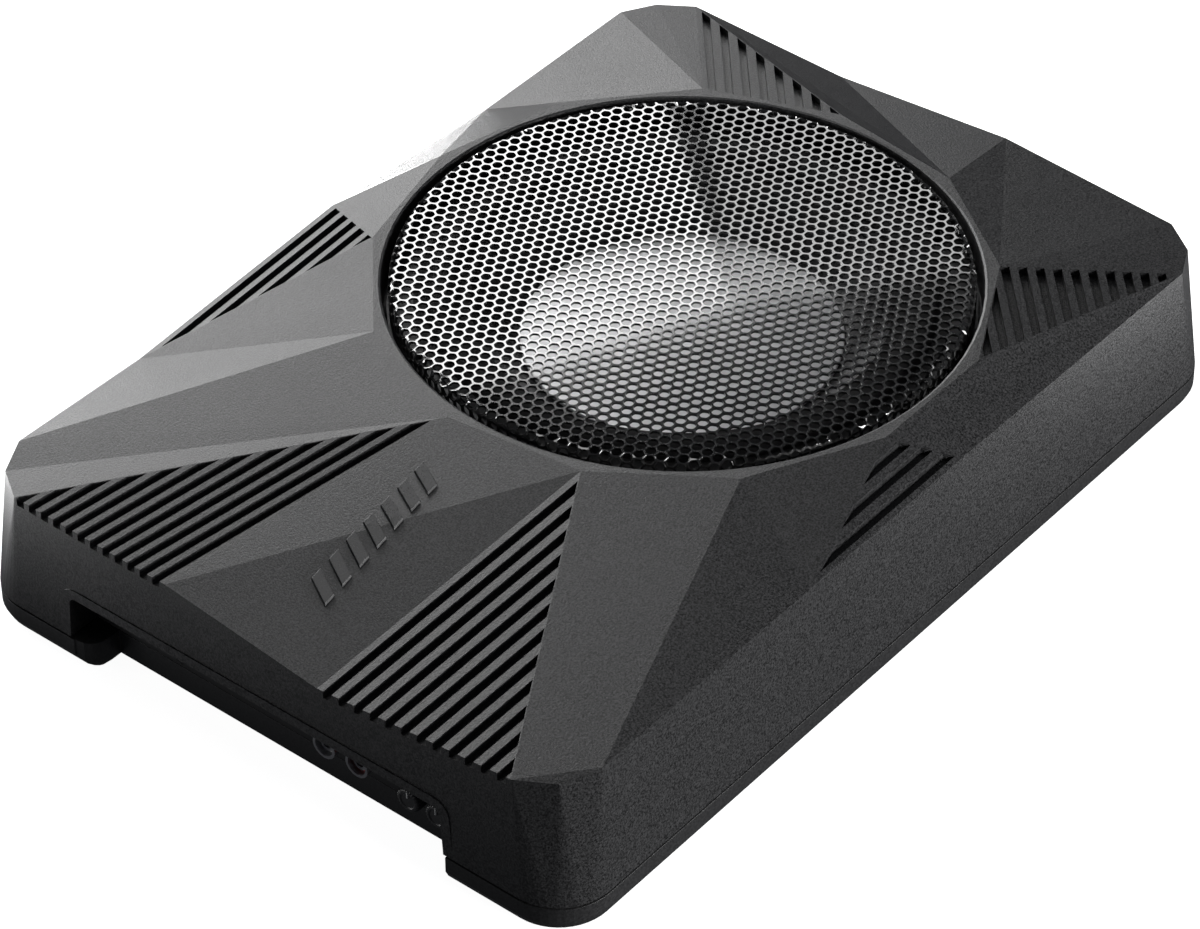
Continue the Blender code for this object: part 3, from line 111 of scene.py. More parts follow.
def softbox(name, azimuth, elevation, size, radiance, distance=2.2):
    """A light on a dome round the object; azimuth counts from +X towards +Y, in degrees."""
    around, above = math.radians(azimuth), math.radians(elevation)
    outward = Vector((
        math.cos(around) * math.cos(above),
        math.sin(around) * math.cos(above),
        math.sin(above),
    ))
    turn = (-outward).to_track_quat("-Z", "Y").to_matrix()
    return add_area_light(name, Vector((0, 0, 0.03)) + outward * distance, size, radiance, turn)


def edge_softbox(name, edge_start, edge_end, aim, height, radiance):
    """An area light that hangs down from a given line, so that its reflection ends at that line."""
    along = (edge_end - edge_start).normalized()
    middle = (edge_start + edge_end) / 2
    facing = aim - middle
    facing = (facing - along * facing.dot(along)).normalized()
    down = along.cross(facing)
    if down.z > 0:
        down = -down
        along = -along
    turn = Matrix((-along, -down, -facing)).transposed()
    size = ((edge_end - edge_start).length, height)
    return add_area_light(name, middle + down * height / 2, size, radiance, turn)


def make_world(strength):
    world = bpy.data.worlds.new("studio")
    bpy.context.scene.world = world
    world.use_nodes = True
    background = world.node_tree.nodes["Background"]
    background.inputs["Color"].default_value = (0.9, 0.93, 1.0, 1)
    background.inputs["Strength"].default_value = strength


FLOOR_COLOUR = (0.93, 0.93, 0.93, 1)
FLOOR_GLOW = 0.95
FLOOR_HALF_WIDTH = 6


def make_floor():
    """A wide pale sweep that glows a little, and that sends no light back to the object."""
    bm = bmesh.new()
    bmesh.ops.create_grid(bm, x_segments=8, y_segments=8, size=FLOOR_HALF_WIDTH)
    mesh = bpy.data.meshes.new("floor")
    bm.to_mesh(mesh)
    bm.free()
    floor = bpy.data.objects.new("floor", mesh)
    bpy.context.scene.collection.objects.link(floor)
    made = bpy.data.materials.new("floor_paper")
    made.use_nodes = True
    shader = made.node_tree.nodes["Principled BSDF"]
    shader.inputs["Base Color"].default_value = FLOOR_COLOUR
    shader.inputs["Roughness"].default_value = 0.9
    shader.inputs["Specular IOR Level"].default_value = 0.1
    shader.inputs["Emission Color"].default_value = (1, 1, 1, 1)
    shader.inputs["Emission Strength"].default_value = FLOOR_GLOW
    mesh.materials.append(made)
    floor.visible_diffuse = False
    floor.visible_glossy = False


bpy.context.scene.view_settings.view_transform = "Standard"

make_world(0.05)
make_floor()

grille_low, grille_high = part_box("driver_grille")
grille_top_z = grille_high.z
DRIVER_X = (grille_low.x + grille_high.x) / 2

# Where the rear softboxes' upper edge shows in the flat of the grille, and how far beyond it they hang,
# as a multiple of the way from the mirrored eye to the grille
REFLECTED_EDGE = ((-0.0643, 0.0192), (0.0338, -0.0236), (0.0908, -0.0689))
EDGE_REACH = 2.1
EDGE_DROP = 1.15
EDGE_EXTEND_LEFT = 5.0
EDGE_EXTEND_RIGHT = 0.6

# (name, azimuth, elevation, size, radiance) on the dome
SOFTBOXES = (
    ("left_rear_softbox", 76, 18, (0.8, 0.8), 2.6),
    ("side_softbox_far", 270, 12, (0.6, 0.6), 10.8),
    ("side_softbox", 285, 12, (0.6, 0.6), 21.0),
    ("side_softbox_near", 300, 12, (0.6, 0.6), 14.0),
    ("left_strip", 130, 10, (0.5, 0.6), 3.0),
    ("top_softbox", 60, 66, (0.9, 0.9), 1.4),
)

# (name, place, size, radiance) of the cards that lie on the floor and light the walls from below
FLOOR_CARDS = (
    ("floor_card_left", (-0.30, 0.60, 0.002), (1.0, 0.8), 12.5),
    ("floor_card_right", (0.35, -0.42, 0.002), (0.35, 0.4), 9.0),
)


def make_lights():
    eye = camera.matrix_world.translation
    mirrored_eye = Vector((eye.x, eye.y, 2 * grille_top_z - eye.z))
    left, middle, right = (
        mirrored_eye + (Vector((x, y, grille_top_z)) - mirrored_eye) * EDGE_REACH
        for x, y in REFLECTED_EDGE
    )
    far_left = left + (left - middle) * EDGE_EXTEND_LEFT
    far_right = right + (right - middle) * EDGE_EXTEND_RIGHT
    aim = Vector((DRIVER_X, 0, 0.07))
    edge_softbox("rear_softbox_left", far_left, middle, aim, EDGE_DROP, 4.9)
    edge_softbox("rear_softbox_right", middle, far_right, aim, EDGE_DROP, 2.2)
    for name, azimuth, elevation, size, radiance in SOFTBOXES:
        softbox(name, azimuth, elevation, size, radiance)
    upward = Matrix.Rotation(math.pi, 3, "X")
    for name, place, size, radiance in FLOOR_CARDS:
        add_area_light(name, Vector(place), size, radiance, upward)


make_lights()


# ---- Materials ----------------------------------------------------------------------------------

def new_material(name, colour, roughness, metallic=0.0, specular=0.5):
    made = bpy.data.materials.new(name)
    made.use_nodes = True
    made.diffuse_color = (*colour, 1)
    shader = made.node_tree.nodes["Principled BSDF"]
    shader.inputs["Base Color"].default_value = (*colour, 1)
    shader.inputs["Roughness"].default_value = roughness
    shader.inputs["Metallic"].default_value = metallic
    shader.inputs["Specular IOR Level"].default_value = specular
    return made, made.node_tree, shader


def noise(tree, coordinates, scale, detail=2.0, roughness=0.5):
    node = tree.nodes.new("ShaderNodeTexNoise")
    node.inputs["Scale"].default_value = scale
    node.inputs["Detail"].default_value = detail
    node.inputs["Roughness"].default_value = roughness
    tree.links.new(coordinates, node.inputs["Vector"])
    return node.outputs["Fac"]


def object_coordinates(tree):
    return tree.nodes.new("ShaderNodeTexCoord").outputs["Object"]


def mixed(tree, factor, low, high):
    """A colour between two, by a factor from 0 to 1."""
    node = tree.nodes.new("ShaderNodeMix")
    node.data_type = "RGBA"
    tree.links.new(factor, node.inputs["Factor"])
    node.inputs["A"].default_value = (*low, 1)
    node.inputs["B"].default_value = (*high, 1)
    return node.outputs["Result"]


def ranged(tree, value, low, high, to_low, to_high):
    node = tree.nodes.new("ShaderNodeMapRange")
    tree.links.new(value, node.inputs["Value"])
    for name, number in zip(("From Min", "From Max", "To Min", "To Max"), (low, high, to_low, to_high)):
        node.inputs[name].default_value = number
    return node.outputs["Result"]


def bumped(tree, shader, height, distance, strength=1.0, round_edges=0.0):
    """Bump from a height, on edges that are shaded a little round where a radius is given."""
    node = tree.nodes.new("ShaderNodeBump")
    node.inputs["Distance"].default_value = distance
    node.inputs["Strength"].default_value = strength
    tree.links.new(height, node.inputs["Height"])
    if round_edges:
        bevel = tree.nodes.new("ShaderNodeBevel")
        bevel.samples = 4
        bevel.inputs["Radius"].default_value = round_edges
        tree.links.new(bevel.outputs["Normal"], node.inputs["Normal"])
    tree.links.new(node.outputs["Normal"], shader.inputs["Normal"])


def grained(name, colour, roughness, grain=1500, depth=0.00006, spread=0.25, round_edges=0.0, specular=0.5):
    """Painted or moulded surface with a fine grain, faint mottling and uneven gloss."""
    made, tree, shader = new_material(name, colour, roughness, 0.0, specular)
    place = object_coordinates(tree)
    fine = noise(tree, place, grain, 3.0, 0.6)
    broad = noise(tree, place, 18, 3.0, 0.55)
    speck = ranged(tree, fine, 0.36, 0.64, 0.0, 1.0)
    low = [c * (1 - spread) for c in colour]
    high = [c * (1 + spread) for c in colour]
    tree.links.new(mixed(tree, speck, low, high), shader.inputs["Base Color"])
    uneven = tree.nodes.new("ShaderNodeMath")
    uneven.operation = "ADD"
    tree.links.new(ranged(tree, broad, 0.3, 0.7, roughness - 0.03, roughness + 0.03), uneven.inputs[0])
    tree.links.new(ranged(tree, fine, 0.3, 0.7, -0.05, 0.05), uneven.inputs[1])
    tree.links.new(uneven.outputs["Value"], shader.inputs["Roughness"])
    bumped(tree, shader, fine, depth, 0.6, round_edges)
    return made


def brushed(name, colour, roughness, grain=400, depth=0.00001):
    """Metal with faint streaks and stains."""
    made, tree, shader = new_material(name, colour, roughness, 1.0)
    place = object_coordinates(tree)
    fine = noise(tree, place, grain, 4.0, 0.7)
    broad = noise(tree, place, 40, 2.0)
    tint = mixed(tree, ranged(tree, broad, 0.3, 0.7, 0, 1), [c * 0.88 for c in colour], colour)
    tree.links.new(tint, shader.inputs["Base Color"])
    gloss = ranged(tree, fine, 0.3, 0.7, roughness - 0.06, roughness + 0.08)
    tree.links.new(gloss, shader.inputs["Roughness"])
    bumped(tree, shader, fine, depth, 0.5)
    return made


COAT = grained("case_powder_coat", (0.032, 0.032, 0.033), 0.36, 1500, 0.0002, 0.75, 0.0, 0.5)
TRAY = grained("tray_moulding", (0.028, 0.028, 0.029), 0.42, 1300, 0.00006, 0.35, 0.0004)
RUBBER = grained("black_rubber", (0.016, 0.016, 0.017), 0.75, 900, 0.00004, 0.3)
PANEL = grained("panel_black", (0.018, 0.018, 0.019), 0.5, 1600, 0.00004, 0.3)
SOCKET = grained("socket_plastic", (0.022, 0.022, 0.024), 0.45, 1200, 0.00003, 0.2)
KNOB = grained("knob_plastic", (0.035, 0.035, 0.037), 0.42, 1200, 0.00003, 0.2)
BASKET = grained("basket_paint", (0.03, 0.03, 0.032), 0.4, 900, 0.00003, 0.2)
CONE = grained("cone_paper", (0.035, 0.035, 0.037), 0.28, 500, 0.00004, 0.25)
FERRITE = grained("ferrite", (0.05, 0.05, 0.055), 0.65, 700, 0.00006, 0.3)
BOARD = grained("board_laminate", (0.015, 0.10, 0.04), 0.4, 300, 0.00002, 0.2)
SLEEVE = grained("black_sleeve", (0.02, 0.02, 0.03), 0.35, 600, 0.00002, 0.2)
BADGE = grained("badge_paint", (0.02, 0.02, 0.021), 0.3, 1400, 0.00003, 0.3, 0.0003, 0.6)
PRINT = grained("white_print", (0.7, 0.7, 0.7), 0.5, 1200, 0.00001, 0.08)
RED_WIRE = grained("red_insulation", (0.45, 0.02, 0.02), 0.45, 600, 0.00002, 0.15)
RED_INSERT = grained("red_insert", (0.5, 0.02, 0.02), 0.4, 600, 0.00002, 0.15)
WHITE_INSERT = grained("white_insert", (0.75, 0.75, 0.72), 0.4, 600, 0.00002, 0.1)
CLOTH = grained("spider_cloth", (0.5, 0.35, 0.14), 0.85, 800, 0.00010, 0.3)
CORE = grained("choke_core", (0.5, 0.42, 0.06), 0.5, 500, 0.00004, 0.3)
SLIDER = grained("slider_grey", (0.45, 0.45, 0.45), 0.5, 900, 0.00002, 0.1)
AMBER = grained("fuse_amber", (0.75, 0.30, 0.03), 0.25, 500, 0.00001, 0.1)
LENS = grained("led_lens", (0.08, 0.2, 0.7), 0.15, 500, 0.00001, 0.1)
CAP = brushed("cap_aluminium", (0.93, 0.93, 0.94), 0.4)
PLATED = brushed("plated_steel", (0.5, 0.5, 0.52), 0.35)
BLACK_STEEL = brushed("black_screw", (0.05, 0.05, 0.052), 0.35)
SINK = brushed("heat_sink_metal", (0.6, 0.6, 0.62), 0.4)
COPPER = brushed("copper_wire", (0.75, 0.33, 0.15), 0.3)
FOIL = brushed("former_foil", (0.55, 0.42, 0.2), 0.35)
BRASS = brushed("brass_contact", (0.75, 0.56, 0.25), 0.3)
GRILLE = grained("grille_paint", (0.008, 0.008, 0.008), 0.1, 1500, 0.000002, 0.2, 0.0, 1.0)
grille_shader = GRILLE.node_tree.nodes["Principled BSDF"]
grille_shader.inputs["Coat Weight"].default_value = 1.0
grille_shader.inputs["Coat Roughness"].default_value = 0.04
grille_shader.inputs["Coat IOR"].default_value = 2.0
GRILLE_RIM = grained("grille_rim_paint", (0.008, 0.008, 0.008), 0.45, 1500, 0.00001, 0.2, 0.0, 0.35)

NODE_MATERIALS = {
    "top_shell": COAT,
    "badge_plate": COAT,
    "bottom_tray": TRAY,
    "case_gasket": RUBBER,
    "driver_gasket": RUBBER,
    "surround": RUBBER,
    "driver_grille": GRILLE,
    "driver_basket": BASKET,
    "cone": CONE,
    "dust_cap": CAP,
    "voice_coil_former": FOIL,
    "voice_coil_winding": COPPER,
    "power_transformer": COPPER,
    "spider": CLOTH,
    "top_plate": PLATED,
    "pole_yoke": PLATED,
    "gain_potentiometer": PLATED,
    "crossover_potentiometer": PLATED,
    "magnet": FERRITE,
    "amplifier_board": BOARD,
    "connector_panel": PANEL,
    "gain_knob": KNOB,
    "crossover_knob": KNOB,
    "phase_switch_slider": SLIDER,
    "auto_on_switch_slider": SLIDER,
    "heat_sink": SINK,
    "capacitor_1": SLEEVE,
    "capacitor_2": SLEEVE,
    "transistor_1": SLEEVE,
    "transistor_2": SLEEVE,
    "output_choke": CORE,
    "speaker_lead_positive": RED_WIRE,
    "speaker_lead_negative": RUBBER,
    "rca_socket_left": PLATED,
    "rca_socket_right": PLATED,
    "fuse": AMBER,
    "status_led": LENS,
}


def paint_cad_nodes():
    for name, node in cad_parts.items():
        if name.startswith("foot_"):
            chosen = RUBBER
        elif "_screw_" in name:
            chosen = BLACK_STEEL
        else:
            chosen = NODE_MATERIALS.get(name, SOCKET)
        node.data.materials.clear()
        node.data.materials.append(chosen)


paint_cad_nodes()


# ---- Mesh helpers -------------------------------------------------------------------------------

def mesh_object(name, verts, faces, finish, smooth=None):
    mesh = bpy.data.meshes.new(name)
    mesh.from_pydata([tuple(v) for v in verts], [], [tuple(f) for f in faces])
    mesh.update()
    item = bpy.data.objects.new(name, mesh)
    bpy.context.scene.collection.objects.link(item)
    mesh.materials.append(finish)
    if smooth is not None:
        mesh.shade_smooth()
        mesh.set_sharp_from_angle(angle=math.radians(smooth))
    return item


def turned(name, profile, finish, centre, steps=160, first=0.0, sweep=360.0, smooth=35):
    """A closed (radius, height) profile turned about an upright axis, all round or over a sector."""
    whole = abs(sweep - 360) < 1e-6
    count = steps if whole else steps + 1
    angles = [math.radians(first + sweep * k / steps) for k in range(count)]
    verts, faces = [], []
    size = len(profile)
    for angle in angles:
        for radius, height in profile:
            verts.append((
                centre[0] + radius * math.cos(angle),
                centre[1] + radius * math.sin(angle),
                height,
            ))
    for k in range(steps):
        here, after = k * size, ((k + 1) % count) * size
        for j in range(size):
            nxt = (j + 1) % size
            faces.append((here + j, after + j, after + nxt, here + nxt))
    if not whole:
        faces.append(tuple(range(size))[::-1])
        faces.append(tuple(range((count - 1) * size, count * size)))
    item = mesh_object(name, verts, faces, finish, smooth)
    bm = bmesh.new()
    bm.from_mesh(item.data)
    bmesh.ops.remove_doubles(bm, verts=bm.verts, dist=1e-7)
    bmesh.ops.recalc_face_normals(bm, faces=bm.faces)
    bm.to_mesh(item.data)
    bm.free()
    return item


def arc(centre, radius, start, end, steps):
    points = []
    for k in range(steps + 1):
        angle = math.radians(start + (end - start) * k / steps)
        points.append((centre[0] + radius * math.cos(angle), centre[1] + radius * math.sin(angle)))
    return points


# ---- Grille -------------------------------------------------------------------------------------

HOLE_PITCH = 0.0041
HOLE_WEB = 0.00066
CORNER_REACH = 0.925
CORNER_SIDE_REACH = 0.893
CORNER_TURN = 15
FLAT_MARGIN = 0.00005
SHEET = 0.0009
GRILLE_RADIUS = (grille_high.x - grille_low.x) / 2
BEND_RADIUS = 0.0022
FLAT_RADIUS = GRILLE_RADIUS - BEND_RADIUS
BEND_LENGTH = BEND_RADIUS * math.pi / 2
HOLED_RIM = 0.0048
HOLES_END = FLAT_RADIUS + BEND_LENGTH + HOLED_RIM


def on_grille(x, y):
    """The place on the pressed cap of a point of the flat blank."""
    reach = math.hypot(x, y)
    if reach <= FLAT_RADIUS:
        return (DRIVER_X + x, y, grille_top_z)
    if reach <= FLAT_RADIUS + BEND_LENGTH:
        angle = (reach - FLAT_RADIUS) / BEND_RADIUS
        radius = FLAT_RADIUS + BEND_RADIUS * math.sin(angle)
        z = grille_top_z - BEND_RADIUS * (1 - math.cos(angle))
    else:
        radius = GRILLE_RADIUS
        z = grille_top_z - BEND_RADIUS - (reach - FLAT_RADIUS - BEND_LENGTH)
    return (DRIVER_X + x / reach * radius, y / reach * radius, z)


def make_grille():
    """Sheet with a hexagonal lattice of round-cornered holes, bent down round its edge."""
    column = HOLE_PITCH * math.sqrt(3) / 2
    outer = HOLE_PITCH / math.sqrt(3)
    inner = (HOLE_PITCH - HOLE_WEB) / math.sqrt(3)
    columns = int(HOLES_END / column) + 2
    rows = int(HOLES_END / HOLE_PITCH) + 2
    verts, faces, known = [], [], {}

    def corner(x, y):
        key = (round(x * 1e6), round(y * 1e6))
        if key not in known:
            known[key] = len(verts)
            verts.append(on_grille(x, y))
        return known[key]

    for i in range(-columns, columns + 1):
        for j in range(-rows, rows + 1):
            cx = i * column
            cy = (j + 0.5 * (i % 2)) * HOLE_PITCH
            if math.hypot(cx, cy) > HOLES_END:
                continue
            rim, hole = [], []
            for k in range(6):
                angle = math.radians(60 * k)
                rim.append(corner(cx + outer * math.cos(angle), cy + outer * math.sin(angle)))
                for turn in (-CORNER_TURN, 0, CORNER_TURN):
                    reach = inner * (CORNER_REACH if turn == 0 else CORNER_SIDE_REACH)
                    bent = angle + math.radians(turn)
                    hole.append(len(verts))
                    verts.append(on_grille(cx + reach * math.cos(bent), cy + reach * math.sin(bent)))
            for k in range(6):
                after = (k + 1) % 6
                faces.append((rim[k], hole[3 * k + 2], hole[3 * k + 1]))
                faces.append((rim[k], hole[3 * k + 1], hole[3 * k]))
                faces.append((rim[k], rim[after], hole[3 * after], hole[3 * k + 2]))
    sheet = mesh_object("grille_sheet", verts, faces, GRILLE, 40)
    bm = bmesh.new()
    bm.from_mesh(sheet.data)
    bmesh.ops.recalc_face_normals(bm, faces=bm.faces)
    top = max(bm.faces, key=lambda face: face.calc_center_median().z)
    if top.normal.z < 0:
        bmesh.ops.reverse_faces(bm, faces=bm.faces)
    bm.to_mesh(sheet.data)
    bm.free()
    solid = sheet.modifiers.new("thickness", "SOLIDIFY")
    solid.thickness = SHEET
    solid.offset = -1
    depsgraph = bpy.context.evaluated_depsgraph_get()
    made = bpy.data.meshes.new_from_object(sheet.evaluated_get(depsgraph))
    sheet.modifiers.clear()
    sheet.data = made
    made.shade_smooth()
    made.set_sharp_from_angle(angle=math.radians(32))
    made.materials.append(GRILLE_RIM)
    for face in made.polygons:
        if face.center.z < grille_top_z - SHEET - FLAT_MARGIN:
            face.material_index = 1
    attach(sheet, "case")
    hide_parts("driver_grille")

    low_z = grille_low.z
    band_top = grille_top_z - BEND_RADIUS - (HOLES_END - FLAT_RADIUS - BEND_LENGTH) + 0.0012
    inner_radius = GRILLE_RADIUS - SHEET
    profile = [
        (inner_radius, low_z),
        (GRILLE_RADIUS, low_z),
        (GRILLE_RADIUS, band_top - 0.0002),
        (GRILLE_RADIUS - 0.0002, band_top),
        (inner_radius, band_top),
    ]
    band = turned("grille_band", profile, GRILLE_RIM, (DRIVER_X, 0))
    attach(band, "case")


make_grille()


# ---- Driver -------------------------------------------------------------------------------------

def piece(item, body, slot_name, *nodes):
    """Rides on a body and stands for the given CAD nodes; the finish slot name is not used."""
    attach(item, body)
    if nodes:
        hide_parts(*nodes)
    return item


def make_flexing_ring(name, node, profile, finish, wedges, steps):
    """A ring made of separate sectors, which stand for the given CAD node."""
    sweep = 360 / wedges
    for k in range(wedges):
        first = k * sweep
        sector = turned(f"{name}_{k + 1}", profile, finish, (DRIVER_X, 0), steps, first, sweep, 50)
        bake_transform(sector)
        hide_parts(node)


def make_surround():
    low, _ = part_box("surround")
    flat_top = low.z + 0.0007
    centre = (0.080, low.z + 0.00035)
    profile = [(0.0895, low.z), (0.0895, flat_top)]
    profile += arc(centre, 0.0054, 4, 176, 20)
    profile += [(0.0706, flat_top), (0.0706, low.z)]
    profile += arc(centre, 0.0047, 176, 4, 20)
    make_flexing_ring(
        "surround_sector", "surround", profile, RUBBER, 20, 6
    )


def make_spider():
    low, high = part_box("spider")
    middle = (low.z + high.z) / 2
    first, last, waves, steps = 0.0265, 0.0622, 6, 72
    upper = []
    for k in range(steps + 1):
        radius = first + (last - first) * k / steps
        fade = min(1.0, k / 6, (steps - k) / 10)
        upper.append((radius, middle + 0.0009 * fade * math.sin(2 * math.pi * waves * k / steps)))
    lower = [(radius, z - 0.0004) for radius, z in reversed(upper)]
    make_flexing_ring(
        "spider_sector", "spider", upper + lower, CLOTH, 12, 8
    )


def make_cone_and_cap():
    """The cone in smooth turned rings with a rolled lip, and the crowned metal cap on it."""
    cone_low, cone_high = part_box("cone")
    cap_low, cap_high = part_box("dust_cap")
    cap_radius = (cap_high.x - cap_low.x) / 2
    edge = (cone_high.x - cone_low.x) / 2
    wall = 0.0008
    upper = [(edge, cone_high.z), (edge - 0.0045, cone_high.z)]
    start, end = Vector((edge - 0.0045, cone_high.z)), Vector((cap_radius + 0.0008, cap_low.z - 0.0003))
    bend = Vector((0.0615, 0.0485))
    for k in range(1, 17):
        t = k / 16
        place = start * (1 - t) ** 2 + bend * 2 * t * (1 - t) + end * t ** 2
        upper.append((place.x, place.y))
    upper += [(cap_radius - 0.004, cap_low.z - 0.0017), (0.0263, 0.0392)]
    lower = []
    for radius, z in reversed(upper):
        outward = 0.0007 if 0.05 < radius < edge - 0.001 else 0
        lower.append((radius + outward, z - wall))
    cone = turned("cone_body", upper + lower, CONE, (DRIVER_X, 0), 144, smooth=50)
    piece(cone, "cone_assembly", "cone_paper", "cone")

    crown = cap_high.z - cap_low.z - wall
    top = []
    for k in range(29):
        radius = (cap_radius - 0.0003) * k / 28
        top.append((radius, cap_low.z + wall + crown * (1 - (k / 28) ** 2)))
    top.append((cap_radius, cap_low.z + wall * 0.6))
    bottom = [(cap_radius, cap_low.z)]
    for radius in (0.050, 0.040, 0.025, 0):
        bottom.append((radius, cap_low.z + crown * (1 - (radius / cap_radius) ** 2)))
    cap = turned("dust_cap_crown", top + bottom, CAP, (DRIVER_X, 0), 144, smooth=30)
    piece(cap, "cone_assembly", "cap_aluminium", "dust_cap")


make_surround()
make_spider()
make_cone_and_cap()


# ---- Screws and feet ----------------------------------------------------------------------------

def hexagon_reach(angle, radius):
    """How far a hexagon of a given corner radius reaches at an angle."""
    within = (angle % (math.pi / 3)) - math.pi / 6
    return radius * math.cos(math.pi / 6) / math.cos(within)


def make_socket_screw(node, up):
    """A machine screw with a hexagonal recess; it keeps its CAD piece's place and size."""
    low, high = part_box(node)
    centre = (low + high) / 2
    head = (high.x - low.x) / 2
    head_height = 0.0026 if head > 0.003 else 0.0018
    shank = head * 0.47 if head > 0.003 else 0.0015
    face_z, tip_z = (high.z, low.z) if up else (low.z, high.z)
    sign = -1 if up else 1
    length = abs(tip_z - face_z)
    rings = [
        (None, head * 0.45, 0.0013),
        (None, head * 0.5, 0.0001),
        (head * 0.62, None, 0.0),
        (head - 0.0006, None, 0.0001),
        (head - 0.0001, None, 0.0006),
        (head, None, head_height - 0.0001),
        (head - 0.0001, None, head_height),
        (shank, None, head_height),
        (shank, None, length - 0.0016),
        (shank * 0.3, None, length),
    ]
    steps = 24
    verts, faces = [], []
    for radius, hexagon, depth in rings:
        for k in range(steps):
            angle = 2 * math.pi * k / steps
            reach = radius if hexagon is None else hexagon_reach(angle, hexagon)
            verts.append((
                centre.x + reach * math.cos(angle),
                centre.y + reach * math.sin(angle),
                face_z + sign * depth,
            ))
    for ring in range(len(rings) - 1):
        for k in range(steps):
            a, b = ring * steps + k, ring * steps + (k + 1) % steps
            faces.append((a, b, b + steps, a + steps))
    faces.append(tuple(range(steps)))
    faces.append(tuple(range((len(rings) - 1) * steps, len(rings) * steps)))
    screw = mesh_object(f"{node}_cut", verts, faces, BLACK_STEEL, 35)
    outward_faces(screw)
    piece(screw, "case", "black_screw", node)


def outward_faces(item):
    bm = bmesh.new()
    bm.from_mesh(item.data)
    bmesh.ops.recalc_face_normals(bm, faces=bm.faces)
    bm.to_mesh(item.data)
    bm.free()


def make_screws_and_feet():
    for number in range(1, 7):
        make_socket_screw(f"case_screw_{number}", False)
        make_socket_screw(f"driver_screw_{number}", True)
    for number in range(1, 5):
        low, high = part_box(f"foot_{number}")
        centre, radius = (low + high) / 2, (high.x - low.x) / 2
        top = high.z
        profile = [
            (0, 0.0005),
            (0.0028, 0.0005),
            (0.0031, 0.0),
            (0.0056, 0.0),
            (0.0059, 0.0004),
            (0.0064, 0.0004),
            (0.0067, 0.0),
            (radius - 0.0004, 0.0),
            (radius, 0.0004),
            (radius, top),
            (0, top),
        ]
        foot = turned(f"foot_{number}_pad", profile, RUBBER, (centre.x, centre.y), 64, smooth=35)
        piece(foot, "case", "black_rubber", f"foot_{number}")


make_screws_and_feet()


# ---- Badge: slanted bars on the fold ------------------------------------------------------------

def badge_planes():
    """A normal and a point for each of the two upper planes of the folded plate."""
    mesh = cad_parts["badge_plate"].data
    top_faces = [face for face in mesh.polygons if face.normal.z > 0.8]
    largest = max(top_faces, key=lambda face: face.area)
    other = min(top_faces, key=lambda face: face.normal.dot(largest.normal))
    return [(face.normal.copy(), face.center.copy()) for face in (largest, other)]


def make_badge():
    planes = badge_planes()

    def plane_height(plane, x, y):
        normal, spot = plane
        return spot.z - (normal.x * (x - spot.x) + normal.y * (y - spot.y)) / normal.z

    first, second = planes
    ridge = plane_height(second, first[1].x, first[1].y) > plane_height(first, first[1].x, first[1].y)

    def height(x, y):
        both = [plane_height(plane, x, y) for plane in planes]
        return min(both) if ridge else max(both)

    low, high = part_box("badge_plate")
    corners = [
        Vector((low.x, low.y)),
        Vector((high.x - 0.0052, low.y + 0.0033)),
        Vector((high.x, high.y)),
        Vector((low.x + 0.0052, high.y - 0.0033)),
    ]

    def place(u, v):
        near = corners[0].lerp(corners[1], u)
        far = corners[3].lerp(corners[2], u)
        return near.lerp(far, v)

    count, slots = 7, 14
    verts, faces = [], []
    for bar in range(count):
        u0, u1 = (bar + 0.05) / count, (bar + 0.62) / count
        grid = []
        for level in (-0.00085, 0.0):
            inset = 0.0 if level < 0 else 0.008
            for k in range(slots + 1):
                v = inset * 4 + (1 - inset * 8) * k / slots
                for u in (u0 + inset / 2, u1 - inset / 2):
                    spot = place(u, v)
                    grid.append((spot.x, spot.y, height(spot.x, spot.y) + level))
        base = len(verts)
        verts += grid
        row = 2 * (slots + 1)
        for k in range(slots):
            a = base + 2 * k
            faces.append((a, a + 1, a + 3, a + 2))
            faces.append((a + row, a + row + 2, a + row + 3, a + row + 1))
            faces.append((a, a + 2, a + row + 2, a + row))
            faces.append((a + 1, a + row + 1, a + row + 3, a + 3))
        a, b = base, base + 2 * slots
        faces.append((a, a + row, a + row + 1, a + 1))
        faces.append((b, b + 1, b + row + 1, b + row))
    bars = mesh_object("badge_bars", verts, faces, BADGE)
    outward_faces(bars)
    piece(bars, "case", "powder_coat", "badge_plate")


make_badge()


# ---- Connector panel ----------------------------------------------------------------------------

panel_low, panel_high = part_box("connector_panel")
PANEL_X = panel_low.x
AXIS_Z = (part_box("power_socket")[0].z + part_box("power_socket")[1].z) / 2


def turned_out(name, profile, finish, y, z, steps=48, flutes=0, depth=0.0, smooth=35):
    """A turned piece whose axis runs out of the panel; (radius, distance out) profile."""
    verts, faces = [], []
    for k in range(steps):
        angle = 2 * math.pi * k / steps
        for radius, out in profile:
            cut = depth * (0.5 - 0.5 * math.cos(angle * flutes)) if flutes and radius > 0.0035 else 0
            reach = radius - cut
            verts.append((PANEL_X - out, y + reach * math.cos(angle), z + reach * math.sin(angle)))
    size = len(profile)
    for k in range(steps):
        here, after = k * size, ((k + 1) % steps) * size
        for j in range(size):
            nxt = (j + 1) % size
            faces.append((here + j, after + j, after + nxt, here + nxt))
    item = mesh_object(name, verts, faces, finish, smooth)
    bm = bmesh.new()
    bm.from_mesh(item.data)
    bmesh.ops.remove_doubles(bm, verts=bm.verts, dist=1e-7)
    bmesh.ops.recalc_face_normals(bm, faces=bm.faces)
    bm.to_mesh(item.data)
    bm.free()
    return item


